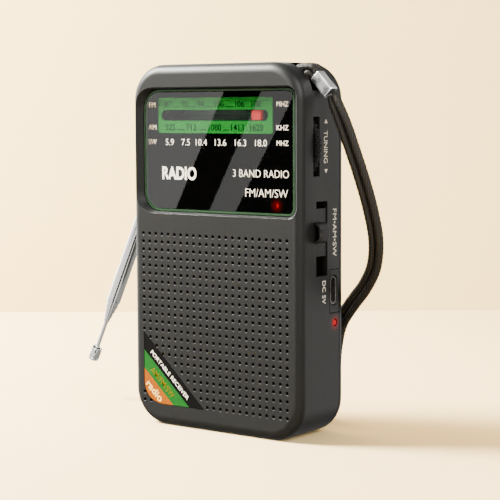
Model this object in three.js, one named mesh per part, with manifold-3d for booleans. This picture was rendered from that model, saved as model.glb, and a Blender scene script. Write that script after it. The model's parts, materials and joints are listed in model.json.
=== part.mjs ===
// Pocket three-band radio: a rounded two-shell case with a recessed dial window, a speaker grille,
// a cord-driven dial pointer, a band switch, a charging port, a wrist strap and a telescopic antenna.
// Millimetres. The case stands on z = 0, is centred on x = 0 and y = 0, and its front faces -Y.
// Places across the thickness are given as a depth behind the front face.
import * as THREE from 'three';
import { mergeVertices } from 'three/addons/utils/BufferGeometryUtils.js';
import Module from 'manifold-3d';

const wasm = await Module();
wasm.setup();

// ---------------------------------------------------------------- driving dimensions
const caseWidth = 69.3;
const caseHeight = 121;
const caseDepth = 26;
const caseCorner = 12;
const caseEdge = 3.4;
const wall = 1.8;
const partingDepth = 22.4;
const seam = 0.15;
const gap = 0.3;
const beyond = 5;

const lens = { halfWidth: 31.0, bottom: 72.4, top: 112.6, leftCorner: 6.6, rightCorner: 2.4 };
const lensDepth = [2.5, 3.7];
const trimWidth = 0.7;
const dialPlateDepth = [4.0, 4.4];
const ledgeDepth = [4.7, 5.7];
const grilleTop = 69.6;

const dialSlot = { left: -24.7, right: 19.7, bottom: 102.4, top: 106.0 };
const tuningLed = { x: 22.9, z: 75.4, radius: 1.5 };

const tuning = { x: 21.1, z: 94.3, radius: 15, drum: 11.9, teeth: 56 };
const volume = { x: -27.15, z: 80, radius: 9, drum: 4, teeth: 36 };
const wheelDepth = [8.0, 10.4];
const drumFront = 7.0;
const idler = { x: -27, z: 102.8, radius: 3.4 };
const cordDepth = [7.05, 7.65];
const cordThickness = 0.6;
const pointer = { x: 14.3, z: 104.2, width: 3.9, height: 3.3 };

const speaker = { z: 36.3, radius: 25, rimDepth: 2.9, magnetDepth: 15.2 };
const boardDepth = [16.4, 17.4];

const switchSlot = { depth: [9.2, 15.5], bottom: 52.8, top: 76.8 };
const switchPlate = { bottom: 59.2, top: 74.5 };
const switchKnob = { z: 66.9, halfHeight: 3.35, reach: 2.6, depth: [7.9, 13.1] };

const portPanel = { depth: [16.9, 22.25], bottom: 40.4, top: 54.4 };
const port = { depth: 19.35, z: 47.7, width: 8.94, height: 3.26 };
const chargeLed = { depth: 19.9, z: 37.1, radius: 1.0 };

const cover = { halfWidth: 18.8, bottom: 6.5, top: 63.5 };
const pack = { halfWidth: 17, bottom: 8.2, top: 61.2, depth: [17.6, 23.3] };

const channel = { edge: -26.3, depth: 19.8, wall: 1.5 };
const antenna = { x: -30, z: 110, depth: 22.95, angle: THREE.MathUtils.degToRad(25) };
const antennaStart = -10.5;
const antennaTubes = [
  { outer: 2.5, inner: 2.25, start: -7.1, end: -81 },
  { outer: 2.15, inner: 1.9, start: antennaStart, end: -83.2 },
  { outer: 1.8, inner: 1.55, start: antennaStart, end: -85.2 },
  { outer: 1.45, inner: 1.2, start: antennaStart, end: -87.2 },
  { outer: 1.1, inner: 0.85, start: antennaStart, end: -89.2 },
];

const strapPlane = -1.5;
const strapCord = 2.6;
const strapLoopThickness = 2.4;
const strapBar = { x: 28.5, z: 117.0, radius: 1.0 };
const strapPocket = { across: [-7.5, 6.2], floor: 5.5, halfDepth: 3.9, wall: 1.5 };
const strapClip = { x: 36.0, z: 113.9, length: 7.6, width: 4.4, depth: 3.6 };
const strapClipAngle = THREE.MathUtils.degToRad(-46.6);

// The wrist cord's route: from the clip down one strand, round the end of the loop and back up the other.
const strapRoute = [
  [38.0, -1.5, 109.8], [41.7, -1.1, 101.6], [44.6, 0.3, 92.4], [46.8, 2.4, 83.2],
  [48.2, 4.9, 73.9], [48.4, 7.6, 64.8], [45.8, 10.9, 56.5], [40.4, 14.4, 49.6],
  [33.6, 17.2, 43.1], [27.2, 19.7, 35.8], [23.8, 21.0, 26.3], [22.4, 21.7, 16.5],
  [20.8, 22.3, 7.2], [14.1, 25.1, 1.7], [4.7, 27.1, 1.5], [-2.3, 27.8, 1.5],
  [-9.7, 26.2, 1.5], [-16.4, 25.7, 1.5], [-21.5, 28.3, 1.5], [-22.9, 33.9, 1.5],
  [-19.5, 38.5, 1.5], [-13.8, 39.0, 1.5], [-7.8, 36.0, 1.5], [-1.5, 31.7, 1.5],
  [5.3, 29.7, 1.5], [14.9, 27.7, 1.7], [22.3, 24.5, 7.1], [25.0, 22.3, 16.2],
  [26.4, 21.3, 25.8], [29.4, 19.8, 34.3], [35.5, 17.2, 41.1], [42.3, 14.4, 47.7],
  [48.2, 10.9, 55.3], [51.1, 7.6, 64.5], [50.9, 4.9, 74.2], [49.5, 2.4, 83.7],
  [47.2, 0.3, 93.2], [44.3, -1.1, 102.4], [39.9, -1.5, 111.7],
];

const caseScrews = [[-22.5, 9.5], [24, 9.5], [-19, 113.5], [10, 113.5]];

const quarter = Math.PI / 2;
const half = caseDepth / 2;
const sideX = caseWidth / 2;
const roundSteps = 24;

// ---------------------------------------------------------------- finishes
const finishes = {
  shell: new THREE.MeshStandardMaterial({ color: 0x45433f, roughness: 0.62, metalness: 0 }),
  lens: new THREE.MeshStandardMaterial({ color: 0x0b0c0b, roughness: 0.06, metalness: 0 }),
  trim: new THREE.MeshStandardMaterial({ color: 0x1f5a2a, roughness: 0.3, metalness: 0 }),
  dial: new THREE.MeshStandardMaterial({ color: 0x2f9a3c, roughness: 0.5, metalness: 0 }),
  label: new THREE.MeshStandardMaterial({ color: 0xe08a2c, roughness: 0.4, metalness: 0 }),
  cloth: new THREE.MeshStandardMaterial({ color: 0x101010, roughness: 0.95, metalness: 0 }),
  steel: new THREE.MeshStandardMaterial({ color: 0xb9bab8, roughness: 0.3, metalness: 1 }),
  chrome: new THREE.MeshStandardMaterial({ color: 0xd8d8d6, roughness: 0.12, metalness: 1 }),
  paper: new THREE.MeshStandardMaterial({ color: 0x26241f, roughness: 0.9, metalness: 0 }),
  ferrite: new THREE.MeshStandardMaterial({ color: 0x2b2b2d, roughness: 0.55, metalness: 0.1 }),
  copper: new THREE.MeshStandardMaterial({ color: 0xb4672f, roughness: 0.35, metalness: 1 }),
  board: new THREE.MeshStandardMaterial({ color: 0x1d5c34, roughness: 0.5, metalness: 0 }),
  black: new THREE.MeshStandardMaterial({ color: 0x171717, roughness: 0.45, metalness: 0 }),
  red: new THREE.MeshStandardMaterial({ color: 0xd8262b, roughness: 0.4, metalness: 0 }),
  cord: new THREE.MeshStandardMaterial({ color: 0x1d1a17, roughness: 0.9, metalness: 0 }),
  nylon: new THREE.MeshStandardMaterial({ color: 0xe7e4da, roughness: 0.5, metalness: 0 }),
  wrap: new THREE.MeshStandardMaterial({ color: 0x2a4d8f, roughness: 0.35, metalness: 0 }),
};

// ---------------------------------------------------------------- shape helpers
function atDepth(depth) {
  return depth - half;
}

function solid(geometry) {
  const bare = geometry.clone();
  bare.deleteAttribute('normal');
  bare.deleteAttribute('uv');
  const welded = mergeVertices(bare, 1e-4);
  const corners = welded.index.array;
  const kept = [];
  for (let i = 0; i < corners.length; i += 3) {
    const [a, b, c] = [corners[i], corners[i + 1], corners[i + 2]];
    if (a !== b && b !== c && c !== a) kept.push(a, b, c);
  }
  return new wasm.Manifold(new wasm.Mesh({
    numProp: 3,
    vertProperties: new Float32Array(welded.attributes.position.array),
    triVerts: new Uint32Array(kept),
  }));
}

function surface(manifold) {
  const { vertProperties, triVerts } = manifold.getMesh();
  const geometry = new THREE.BufferGeometry();
  geometry.setAttribute('position', new THREE.BufferAttribute(new Float32Array(vertProperties), 3));
  geometry.setIndex(new THREE.BufferAttribute(new Uint32Array(triVerts), 1));
  geometry.computeVertexNormals();
  return geometry;
}

function joined(...pieces) {
  return pieces.reduce((whole, piece) => whole.add(piece));
}

function cut(body, ...tools) {
  return tools.reduce((whole, tool) => whole.subtract(tool), body);
}

// A box between two limits on each axis, y given as depths.
function block([x0, x1], [depth0, depth1], [z0, z1]) {
  const geometry = new THREE.BoxGeometry(x1 - x0, depth1 - depth0, z1 - z0);
  geometry.translate((x0 + x1) / 2, atDepth((depth0 + depth1) / 2), (z0 + z1) / 2);
  return solid(geometry);
}

// Rounded rectangle, corner radii in the order bottom left, bottom right, top right, top left.
function roundedShape(left, right, bottom, top, radii) {
  const [bottomLeft, bottomRight, topRight, topLeft] = radii;
  const shape = new THREE.Shape();
  shape.absarc(right - bottomRight, bottom + bottomRight, bottomRight, -quarter, 0, false);
  shape.absarc(right - topRight, top - topRight, topRight, 0, quarter, false);
  shape.absarc(left + topLeft, top - topLeft, topLeft, quarter, 2 * quarter, false);
  shape.absarc(left + bottomLeft, bottom + bottomLeft, bottomLeft, 2 * quarter, 3 * quarter, false);
  return shape;
}

function circleShape(x, z, radius) {
  const shape = new THREE.Shape();
  shape.absarc(x, z, radius, 0, 4 * quarter, false);
  return shape;
}

function polygonShape(points) {
  return new THREE.Shape(points.map(([x, z]) => new THREE.Vector2(x, z)));
}

// A front-view outline drawn out between two depths.
function plate(shape, [depth0, depth1], curveSegments = 4) {
  const geometry = new THREE.ExtrudeGeometry(shape, { depth: depth1 - depth0, bevelEnabled: false, curveSegments });
  geometry.rotateX(quarter);
  geometry.translate(0, atDepth(depth1), 0);
  return solid(geometry);
}

// A side-view outline (y, z) drawn out between two x places.
function sidePlate(shape, [x0, x1], curveSegments = 6) {
  const geometry = new THREE.ExtrudeGeometry(shape, { depth: x1 - x0, bevelEnabled: false, curveSegments });
  geometry.rotateX(quarter);
  geometry.rotateZ(quarter);
  geometry.translate(x0, 0, 0);
  return solid(geometry);
}

// A body of revolution about a line along Y through (x, z); the profile is (radius, depth) pairs.
function turned(x, z, profile, segments = roundSteps) {
  const points = profile.map(([radius, depth]) => new THREE.Vector2(radius, atDepth(depth)));
  const geometry = new THREE.LatheGeometry(points, segments);
  geometry.translate(x, 0, z);
  return solid(geometry);
}

function pin(x, z, radius, [depth0, depth1], segments = roundSteps) {
  return turned(x, z, [[0, depth0], [radius, depth0], [radius, depth1], [0, depth1]], segments);
}

function sidePin(depth, z, radius, [x0, x1], segments = roundSteps) {
  const geometry = new THREE.CylinderGeometry(radius, radius, x1 - x0, segments);
  geometry.rotateZ(quarter);
  geometry.translate((x0 + x1) / 2, atDepth(depth), z);
  return solid(geometry);
}

// A slab whose outline changes evenly from one depth to another; both outlines have as many points.
function tapered(nearShape, nearDepth, farShape, farDepth) {
  const near = nearShape.getPoints(6);
  const far = farShape.getPoints(6);
  const count = near.length;
  const positions = [];
  near.forEach((p) => positions.push(p.x, atDepth(nearDepth), p.y));
  far.forEach((p) => positions.push(p.x, atDepth(farDepth), p.y));
  const index = [];
  for (let i = 0; i < count; i += 1) {
    const next = (i + 1) % count;
    index.push(i, i + count, next, next, i + count, next + count);
  }
  THREE.ShapeUtils.triangulateShape(near, []).forEach(([a, b, c]) => index.push(a, b, c));
  THREE.ShapeUtils.triangulateShape(far, []).forEach(([a, b, c]) => index.push(c + count, b + count, a + count));
  const geometry = new THREE.BufferGeometry();
  geometry.setAttribute('position', new THREE.Float32BufferAttribute(positions, 3));
  geometry.setIndex(index);
  return solid(geometry);
}

const radio = new THREE.Group();

function place(name, shape, finish, parent = radio) {
  const mesh = new THREE.Mesh(shape instanceof THREE.BufferGeometry ? shape : surface(shape), finish);
  mesh.name = name;
  parent.add(mesh);
}

// ---------------------------------------------------------------- case outline
function caseBody() {
  const shape = roundedShape(-sideX, sideX, 0, caseHeight, Array(4).fill(caseCorner));
  const geometry = new THREE.ExtrudeGeometry(shape, {
    depth: caseDepth - 2 * caseEdge,
    bevelThickness: caseEdge,
    bevelSize: caseEdge,
    bevelOffset: -caseEdge,
    bevelSegments: 4,
    curveSegments: 7,
  });
  geometry.rotateX(quarter);
  geometry.translate(0, half - caseEdge, 0);
  return solid(geometry);
}

function innerShape(inset) {
  return roundedShape(-sideX + inset, sideX - inset, inset, caseHeight - inset, Array(4).fill(caseCorner - inset));
}

function lensShape(grow) {
  const left = Math.max(lens.leftCorner + grow, 0.5);
  const right = Math.max(lens.rightCorner + grow, 0.5);
  const edge = lens.halfWidth + grow;
  return roundedShape(-edge, edge, lens.bottom - grow, lens.top + grow, [left, right, right, left]);
}

// The place of a point given along and across the top right corner's diagonal.
function cornerPoint(along, across) {
  const x = sideX - caseCorner + (along + across) * Math.SQRT1_2;
  const z = caseHeight - caseCorner + (along - across) * Math.SQRT1_2;
  return [x, z];
}

function cornerBox([along0, along1], [across0, across1], depths) {
  const corners = [[along0, across0], [along0, across1], [along1, across1], [along1, across0]];
  const shape = polygonShape(corners.map(([along, across]) => cornerPoint(along, across)).reverse());
  return plate(shape, depths);
}

const strapDepth = strapPlane + half;
const pocketDepths = [strapDepth - strapPocket.halfDepth, strapDepth + strapPocket.halfDepth];

function frontShell() {
  const outer = caseBody();
  const inside = [-beyond, caseHeight + beyond];
  const frontHalf = outer.intersect(block([-sideX - 1, sideX + 1], [-1, partingDepth - seam], inside));
  const upper = plate(innerShape(wall), [ledgeDepth[1], caseDepth + 1]);
  const grilleSpace = plate(innerShape(wall), [wall, ledgeDepth[1] + 1])
    .intersect(block([-sideX, sideX], [0, caseDepth], [-1, grilleTop]));
  let shell = cut(frontHalf, upper, grilleSpace);

  const pocketWall = strapPocket.wall;
  const [across0, across1] = strapPocket.across;
  const thick = cornerBox(
    [strapPocket.floor - pocketWall, 2 * caseCorner],
    [across0 - pocketWall, across1 + pocketWall],
    [pocketDepths[0] - pocketWall, pocketDepths[1] + pocketWall],
  );
  const channelBlock = block(
    [-sideX - 1, channel.edge + channel.wall],
    [channel.depth - channel.wall, partingDepth - seam],
    [wall / 2, caseHeight - wall / 2],
  );
  shell = joined(shell, joined(thick, channelBlock).intersect(frontHalf));
  caseScrews.forEach(([x, z]) => {
    const start = z > grilleTop ? ledgeDepth[1] - 0.5 : wall - 0.5;
    shell = joined(shell, pin(x, z, 2.6, [start, partingDepth - seam], 16));
  });

  const pocket = cornerBox([strapPocket.floor, 2 * caseCorner], strapPocket.across, pocketDepths);
  const barHole = pin(
    strapBar.x, strapBar.z, strapBar.radius + 0.15, [pocketDepths[0] - 1.2, pocketDepths[1] + 1.2], 16);
  const windowMouth = tapered(
    roundedShape(-34.3, 34.3, 71.5, 113.5, [9, 4.5, 4.5, 9]), -0.5,
    lensShape(gap), lensDepth[0],
  );
  const lensSeat = plate(lensShape(gap), [lensDepth[0] - 0.1, ledgeDepth[0]]);
  const dialOpening = block(
    [dialSlot.left - 0.8, dialSlot.right + 0.3],
    [ledgeDepth[0] - 1, ledgeDepth[1] + 1],
    [dialSlot.bottom - 0.2, dialSlot.top + 0.2],
  );
  const ledOpening = pin(tuningLed.x, tuningLed.z, tuningLed.radius + gap, [ledgeDepth[0] - 1, ledgeDepth[1] + 1], 16);
  const idlerHole = pin(idler.x, idler.z, 1.15, [ledgeDepth[0] + 0.3, ledgeDepth[1] + 1], 16);
  const labelSeat = plate(labelShape(0.15), [-1, 0.5]);
  const tuningSlot = block([sideX - 3, sideX + 1], [7.6, 11.1], [84.8, 103.7]);
  const drumRelief = block([sideX - 3, sideX - 0.45], [6.7, 7.9], [tuning.z - 8, tuning.z + 8]);
  const volumeSlot = block([-sideX - 1, -sideX + 3], [7.6, 11.1], [volume.z - 8.3, volume.z + 8.3]);
  const bandSlot = block([sideX - 3, sideX + 1], switchSlot.depth, [switchSlot.bottom, switchSlot.top]);
  const panelSeat = block(
    [sideX - 3, sideX + 1],
    [portPanel.depth[0] - 0.2, partingDepth],
    [portPanel.bottom - 0.2, portPanel.top + 0.2],
  );
  const ledHole = sidePin(chargeLed.depth, chargeLed.z, chargeLed.radius + gap, [sideX - 3, sideX + 1], 16);
  const jackHole = sidePin(13.4, 69.5, 2.9, [-sideX - 1, -sideX + 3], 20);
  const antennaSpace = block([-sideX - 1, channel.edge], [channel.depth, caseDepth], [-1, caseHeight + 1]);
  const pivotHole = pin(antenna.x, antenna.z, 1.65, [channel.depth - 3, caseDepth], 16);
  shell = cut(
    shell, pocket, barHole, windowMouth, lensSeat, dialOpening, ledOpening, idlerHole, labelSeat,
    tuningSlot, drumRelief, volumeSlot, bandSlot, panelSeat, ledHole, jackHole, antennaSpace, pivotHole,
  );
  caseScrews.forEach(([x, z]) => {
    shell = cut(shell, pin(x, z, 1.15, [13.5, partingDepth + 1], 16));
  });
  return shell;
}

function rearShell() {
  const outer = caseBody();
  const rearHalf = outer.intersect(
    block([-sideX - 1, sideX + 1], [partingDepth + seam, caseDepth + 1], [-beyond, caseHeight + beyond]));
  const inside = plate(innerShape(wall), [partingDepth - 1, caseDepth - wall]);
  let shell = cut(rearHalf, inside);
  const channelWall = block(
    [channel.edge - 1, channel.edge + channel.wall],
    [partingDepth + seam, caseDepth - wall + 0.5],
    [wall / 2, caseHeight - wall / 2],
  ).intersect(rearHalf);
  const floorDepth = 16.5;
  const tray = block(
    [-cover.halfWidth - 1.1, cover.halfWidth + 1.1], [floorDepth, caseDepth - wall + 0.5],
    [cover.bottom - 1.3, cover.top + 1.3]);
  shell = joined(shell, channelWall, tray);
  caseScrews.forEach(([x, z]) => {
    shell = joined(shell, pin(x, z, 2.4, [partingDepth + seam, caseDepth - wall + 0.5], 16));
  });
  const packSpace = block([-17.6, 17.6], [floorDepth + 0.8, caseDepth + 1], [7.7, 62.3]);
  const mouth = block(
    [-cover.halfWidth - gap, cover.halfWidth + gap], [caseDepth - wall - gap, caseDepth + 1],
    [cover.bottom - gap, cover.top + gap]);
  const contactSlots = [-5, 5].map((x) => block([x - 1.8, x + 1.8], [18.7, 19.9], [62, 66]));
  const antennaSpace = block([-sideX - 1, channel.edge], [channel.depth, caseDepth + 1], [-1, caseHeight + 1]);
  shell = cut(shell, packSpace, mouth, antennaSpace, ...contactSlots);
  caseScrews.forEach(([x, z]) => {
    shell = cut(shell, pin(x, z, 1.25, [partingDepth - 1, caseDepth + 1], 16));
    shell = cut(shell, pin(x, z, 2.15, [24.7, caseDepth + 1], 16));
  });
  return shell;
}

// ---------------------------------------------------------------- front pieces
// The corner label: a triangle whose outer corner is cut by a round.
function labelShape(grow) {
  const left = -29.8 - grow;
  const bottom = 7.2 - grow;
  const shape = new THREE.Shape();
  shape.moveTo(-4.4 + 3 * grow, bottom);
  shape.lineTo(left, 31.0 + 3 * grow);
  shape.lineTo(left, bottom + 7);
  shape.quadraticCurveTo(left + 0.5, bottom + 0.4, left + 8, bottom);
  return shape;
}

function ringPlate(outerShape, innerShape_, depths) {
  outerShape.holes.push(innerShape_);
  return plate(outerShape, depths);
}

function dialPlate() {
  const radius = (dialSlot.top - dialSlot.bottom) / 2;
  const shape = lensShape(0);
  shape.holes.push(roundedShape(
    dialSlot.left, dialSlot.right, dialSlot.bottom, dialSlot.top, Array(4).fill(radius - 0.01)));
  shape.holes.push(circleShape(tuningLed.x, tuningLed.z, 0.9));
  return plate(shape, dialPlateDepth);
}

function speakerCloth() {
  const shape = roundedShape(-31, 31, 5.5, 67.5, [9, 9, 2, 2]);
  caseScrews.filter(([, z]) => z < grilleTop)
    .forEach(([x, z]) => shape.holes.push(circleShape(x, z, 2.9)));
  return plate(shape, [2.1, 2.5]);
}

place('front_shell', frontShell(), finishes.shell);
place('rear_shell', rearShell(), finishes.shell);
place('window_lens', plate(lensShape(-trimWidth - 0.15), lensDepth), finishes.lens);
place('window_trim', ringPlate(lensShape(0), lensShape(-trimWidth), lensDepth), finishes.trim);
place('dial_scale_plate', dialPlate(), finishes.dial);
place('corner_label', plate(labelShape(0), [0, 0.2]), finishes.label);
place('speaker_cloth', speakerCloth(), finishes.cloth);

// ---------------------------------------------------------------- speaker
const rim = speaker.rimDepth;
place('speaker_frame', turned(0, speaker.z, [
  [22.6, rim], [speaker.radius, rim], [speaker.radius, rim + 1.2], [23.6, rim + 1.2],
  [13.5, rim + 7.2], [4.6, rim + 7.2], [4.6, rim + 6.4], [13.0, rim + 6.4], [22.6, rim + 0.9], [22.6, rim],
], 32), finishes.steel);
place('speaker_cone', turned(0, speaker.z, [
  [0, rim + 2.1], [3, rim + 2.4], [5.2, rim + 3.6], [21.9, rim + 0.2], [22.2, rim + 0.2],
  [22.2, rim + 0.6], [5.4, rim + 4.6], [3.2, rim + 5.6], [0, rim + 5.6],
], 32), finishes.paper);
place('speaker_magnet', turned(0, speaker.z, [
  [0, rim + 7.5], [11.8, rim + 7.5], [12.2, rim + 7.9], [12.2, speaker.magnetDepth - 0.4],
  [11.8, speaker.magnetDepth], [0, speaker.magnetDepth],
], 32), finishes.ferrite);

// ---------------------------------------------------------------- thumbwheels on their potentiometers
function knurledShape({ x, z, radius, teeth }) {
  const points = [];
  for (let i = 0; i < 2 * teeth; i += 1) {
    const angle = (i * 2 * quarter) / teeth;
    const reach = i % 2 ? radius - 0.45 : radius;
    points.push([x + reach * Math.cos(angle), z + reach * Math.sin(angle)]);
  }
  return polygonShape(points);
}

function thumbControl(name, control) {
  const { x, z, drum } = control;
  const wheel = cut(
    joined(plate(knurledShape(control), wheelDepth), pin(x, z, drum, [drumFront, wheelDepth[0] + 0.5], 36)),
    pin(x, z, 2.4, [drumFront - 1, drumFront + 1.1], 16),
    pin(x, z, 1.1, [drumFront, wheelDepth[1] + 1], 16),
    pin(x, z, 3.2, [wheelDepth[0] + 0.9, wheelDepth[1] + 1], 16),
  );
  place(`${name}_wheel`, wheel, finishes.black);
  place(`${name}_wheel_screw`, turned(x, z, [
    [0, drumFront + 0.1], [1.8, drumFront + 0.1], [2.1, drumFront + 0.4], [2.1, drumFront + 0.8],
    [0.8, drumFront + 0.8], [0.8, 11], [0, 11],
  ], 16), finishes.steel);
  const shaft = cut(pin(x, z, 2.9, [9.2, 15], 16), pin(x, z, 1.05, [9, 11.3], 16));
  place(`${name}_shaft`, shaft, finishes.nylon);
  const body = cut(
    block([x - 4.9, x + 4.9], [10.9, 16.1], [z - 4.9, z + 4.9]),
    pin(x, z, 3.2, [10, 15.3], 16),
  );
  place(`${name}_potentiometer`, body, finishes.steel);
}

thumbControl('tuning', tuning);
thumbControl('volume', volume);

// ---------------------------------------------------------------- dial drive
// Closed outline round two circles, as a belt lies on two pulleys.
function beltShape(a, radiusA, b, radiusB) {
  const reach = Math.hypot(b.x - a.x, b.z - a.z);
  const heading = Math.atan2(b.z - a.z, b.x - a.x);
  const lean = Math.acos((radiusA - radiusB) / reach);
  const shape = new THREE.Shape();
  shape.absarc(a.x, a.z, radiusA, heading + lean, heading - lean + 4 * quarter, false);
  shape.absarc(b.x, b.z, radiusB, heading - lean, heading + lean, false);
  return shape;
}

function dialCord() {
  const inside = beltShape(idler, idler.radius + gap, tuning, tuning.drum + gap);
  const grow = gap + cordThickness;
  const outside = beltShape(idler, idler.radius + grow, tuning, tuning.drum + grow);
  outside.holes.push(inside);
  return plate(outside, cordDepth, 16);
}

place('dial_cord', dialCord(), finishes.nylon);
place('idler_pulley', turned(idler.x, idler.z, [
  [1.3, 6.7], [4.7, 6.7], [4.7, 6.95], [idler.radius, 6.95], [idler.radius, 7.85],
  [4.7, 7.85], [4.7, 8.15], [1.3, 8.15], [1.3, 6.7],
]), finishes.nylon);
place('idler_pulley_pin', turned(idler.x, idler.z, [
  [0, 5.2], [1, 5.2], [1, 8.4], [2.2, 8.4], [2.2, 9], [0, 9],
], 16), finishes.steel);

const railHeight = [108.6, 109.4];
place('pointer_rail', joined(
  block([-26, 25], [6.9, 7.5], railHeight),
  block([-27.4, -26], [6.0, 7.5], railHeight),
  block([23.6, 25], [6.0, 7.5], railHeight),
), finishes.steel);

function dialPointer() {
  const { x, z, width, height } = pointer;
  const wide = [x - 2.6, x + 2.6];
  return joined(
    block([x - width / 2, x + width / 2], [4.8, 6.3], [z - height / 2, z + height / 2]),
    block(wide, [6.0, 6.6], [101.9, 110.4]),
    block(wide, [6.0, 7.5], [107.5, 108.2]),
    block(wide, [6.0, 7.5], [109.8, 110.4]),
  );
}

place('dial_pointer', dialPointer(), finishes.red);

// ---------------------------------------------------------------- circuit board and what stands on it
function circuitBoard() {
  const outline = polygonShape([
    [-31.5, 66], [22.4, 66], [22.4, 31], [32.2, 31], [32.2, 101.5], [27.5, 106], [-24, 106], [-31.5, 99],
  ]);
  return plate(outline, boardDepth);
}

place('circuit_board', circuitBoard(), finishes.board);
place('radio_chip', block([-4, 4], [17.7, 18.9], [83, 91]), finishes.black);
place('crystal_can', block([10, 18], [17.7, 20.6], [84, 88]), finishes.steel);
place('filter_can', block([-18, -11], [17.7, 22.6], [76, 83]), finishes.steel);
place('capacitor', turned(8, 75, [
  [0, 17.7], [2.9, 17.7], [3.1, 18], [3.1, 23.2], [2.8, 23.5], [0, 23.5],
], 20), finishes.wrap);

function led(radius, length) {
  const steps = 4;
  const profile = [[0, 0]];
  for (let i = 1; i <= steps; i += 1) {
    const angle = (i * quarter) / steps;
    profile.push([radius * Math.sin(angle), radius * (1 - Math.cos(angle))]);
  }
  profile.push([radius, length], [0, length]);
  return profile;
}

place('tuning_led', joined(
  turned(tuningLed.x, tuningLed.z, led(tuningLed.radius, 3.6).map(([r, d]) => [r, d + 4.75]), 16),
  block([tuningLed.x - 0.9, tuningLed.x - 0.5], [8, 16.1], [tuningLed.z - 0.2, tuningLed.z + 0.2]),
  block([tuningLed.x + 0.5, tuningLed.x + 0.9], [8, 16.1], [tuningLed.z - 0.2, tuningLed.z + 0.2]),
), finishes.red);
place('charge_led', joined(
  sidePin(chargeLed.depth, chargeLed.z, chargeLed.radius, [29, sideX - 0.1], 16),
  block([28, 29.5], [17.7, 21], [chargeLed.z - 1.2, chargeLed.z + 1.2]),
), finishes.red);
place('earphone_jack', cut(
  block([-32.6, -21], [10.8, 16.1], [66.6, 72.4]),
  sidePin(13.4, 69.5, 1.8, [-34, -23], 20),
), finishes.black);

place('ferrite_rod', sidePin(20.8, 104, 2.5, [-22, 20], 16), finishes.ferrite);
function windingShape(radius) {
  return circleShape(atDepth(20.8), 104, radius);
}
const winding = windingShape(3.1);
winding.holes.push(windingShape(2.7));
place('ferrite_coil', sidePlate(winding, [-8, 10], 10), finishes.copper);

// ---------------------------------------------------------------- battery
place('battery_cover', block(
  [-cover.halfWidth, cover.halfWidth], [caseDepth - wall, caseDepth], [cover.bottom, cover.top]), finishes.shell);
place('battery_pack', plate(roundedShape(
  -pack.halfWidth, pack.halfWidth, pack.bottom, pack.top, Array(4).fill(1.5)), pack.depth, 3), finishes.wrap);
[-5, 5].forEach((x, i) => {
  const strip = joined(
    block([x - 1.5, x + 1.5], [18, 22], [61.5, 61.9]),
    block([x - 1.5, x + 1.5], [19, 19.6], [61.6, 68.6]),
  );
  place(`battery_contact_${i + 1}`, strip, finishes.copper);
});

// ---------------------------------------------------------------- band switch
function bandSwitchKnob() {
  const { z, halfHeight, reach, depth } = switchKnob;
  const cap = new THREE.Shape();
  cap.absellipse(0, 0, reach, halfHeight, -quarter, quarter, false);
  const geometry = new THREE.ExtrudeGeometry(cap, {
    depth: depth[1] - depth[0], bevelEnabled: false, curveSegments: 10 });
  geometry.rotateX(quarter);
  geometry.translate(sideX + gap, atDepth(depth[1]), z);
  const mouth = new THREE.Shape();
  mouth.absellipse(0, 0, reach - 0.8, halfHeight - 0.9, -quarter, quarter, false);
  const hollow = new THREE.ExtrudeGeometry(mouth, { depth: 2.6, bevelEnabled: false, curveSegments: 8 });
  hollow.rotateX(quarter);
  hollow.translate(sideX + gap + 0.35, atDepth(depth[0] + 2), z);
  return joined(
    cut(solid(geometry), solid(hollow)),
    block([sideX - 1, sideX + gap + 0.5], [10.6, 12.9], [z - 2.6, z + 2.6]),
    block([sideX - 1.45, sideX - 0.35], [9.5, 15.2], [switchPlate.bottom, switchPlate.top]),
    block([sideX - 4.5, sideX - 1], [11.3, 13.1], [z - 1, z + 1]),
  );
}

place('band_switch_knob', bandSwitchKnob(), finishes.black);
place('band_switch_body', cut(
  block([24.5, 32.4], [9.6, 16.1], [56, 76]),
  block([29.5, 33], [11, 13.4], [62.5, 71.3]),
), finishes.steel);

// ---------------------------------------------------------------- charging port
function stadium(width, height) {
  const radius = height / 2 - 0.01;
  const middle = atDepth(port.depth);
  return roundedShape(
    middle - height / 2, middle + height / 2, port.z - width / 2, port.z + width / 2, Array(4).fill(radius));
}

const portReach = [26.8, sideX - 0.35];
place('usb_c_socket', joined(
  cut(
    sidePlate(stadium(port.width, port.height), portReach, 5),
    sidePlate(stadium(port.width - 0.6, port.height - 0.6), [portReach[0] + 0.7, portReach[1] + 1], 5),
  ),
  block([portReach[0] + 0.5, portReach[1] - 0.9], [port.depth - 0.35, port.depth + 0.35], [port.z - 3.35, port.z + 3.35]),
), finishes.steel);
place('port_panel', cut(
  block([sideX - wall + 0.1, sideX], portPanel.depth, [portPanel.bottom, portPanel.top]),
  sidePlate(stadium(port.width + 0.5, port.height + 0.5), [sideX - 3, sideX + 1], 5),
), finishes.shell);

// ---------------------------------------------------------------- case screws
caseScrews.forEach(([x, z], i) => {
  const recess = cut(
    turned(x, z, [[0, 14], [1, 14], [1, 25], [1.9, 25], [1.9, 25.6], [1.5, 25.9], [0, 25.9]], 16),
    block([x - 0.2, x + 0.2], [25.4, 26], [z - 1, z + 1]),
    block([x - 1, x + 1], [25.4, 26], [z - 0.2, z + 0.2]),
  );
  place(`case_screw_${i + 1}`, recess, finishes.steel);
});

// ---------------------------------------------------------------- antenna
const antennaArm = new THREE.Group();
antennaArm.position.set(antenna.x, atDepth(antenna.depth), antenna.z);
antennaArm.rotation.y = antenna.angle;
radio.add(antennaArm);

// A tube or rod along the arm: the profile is (radius, place along the arm) pairs.
function armTurned(profile, segments = 20) {
  const geometry = new THREE.LatheGeometry(profile.map(([r, along]) => new THREE.Vector2(r, along)), segments);
  geometry.rotateX(quarter);
  return solid(geometry);
}

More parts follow.
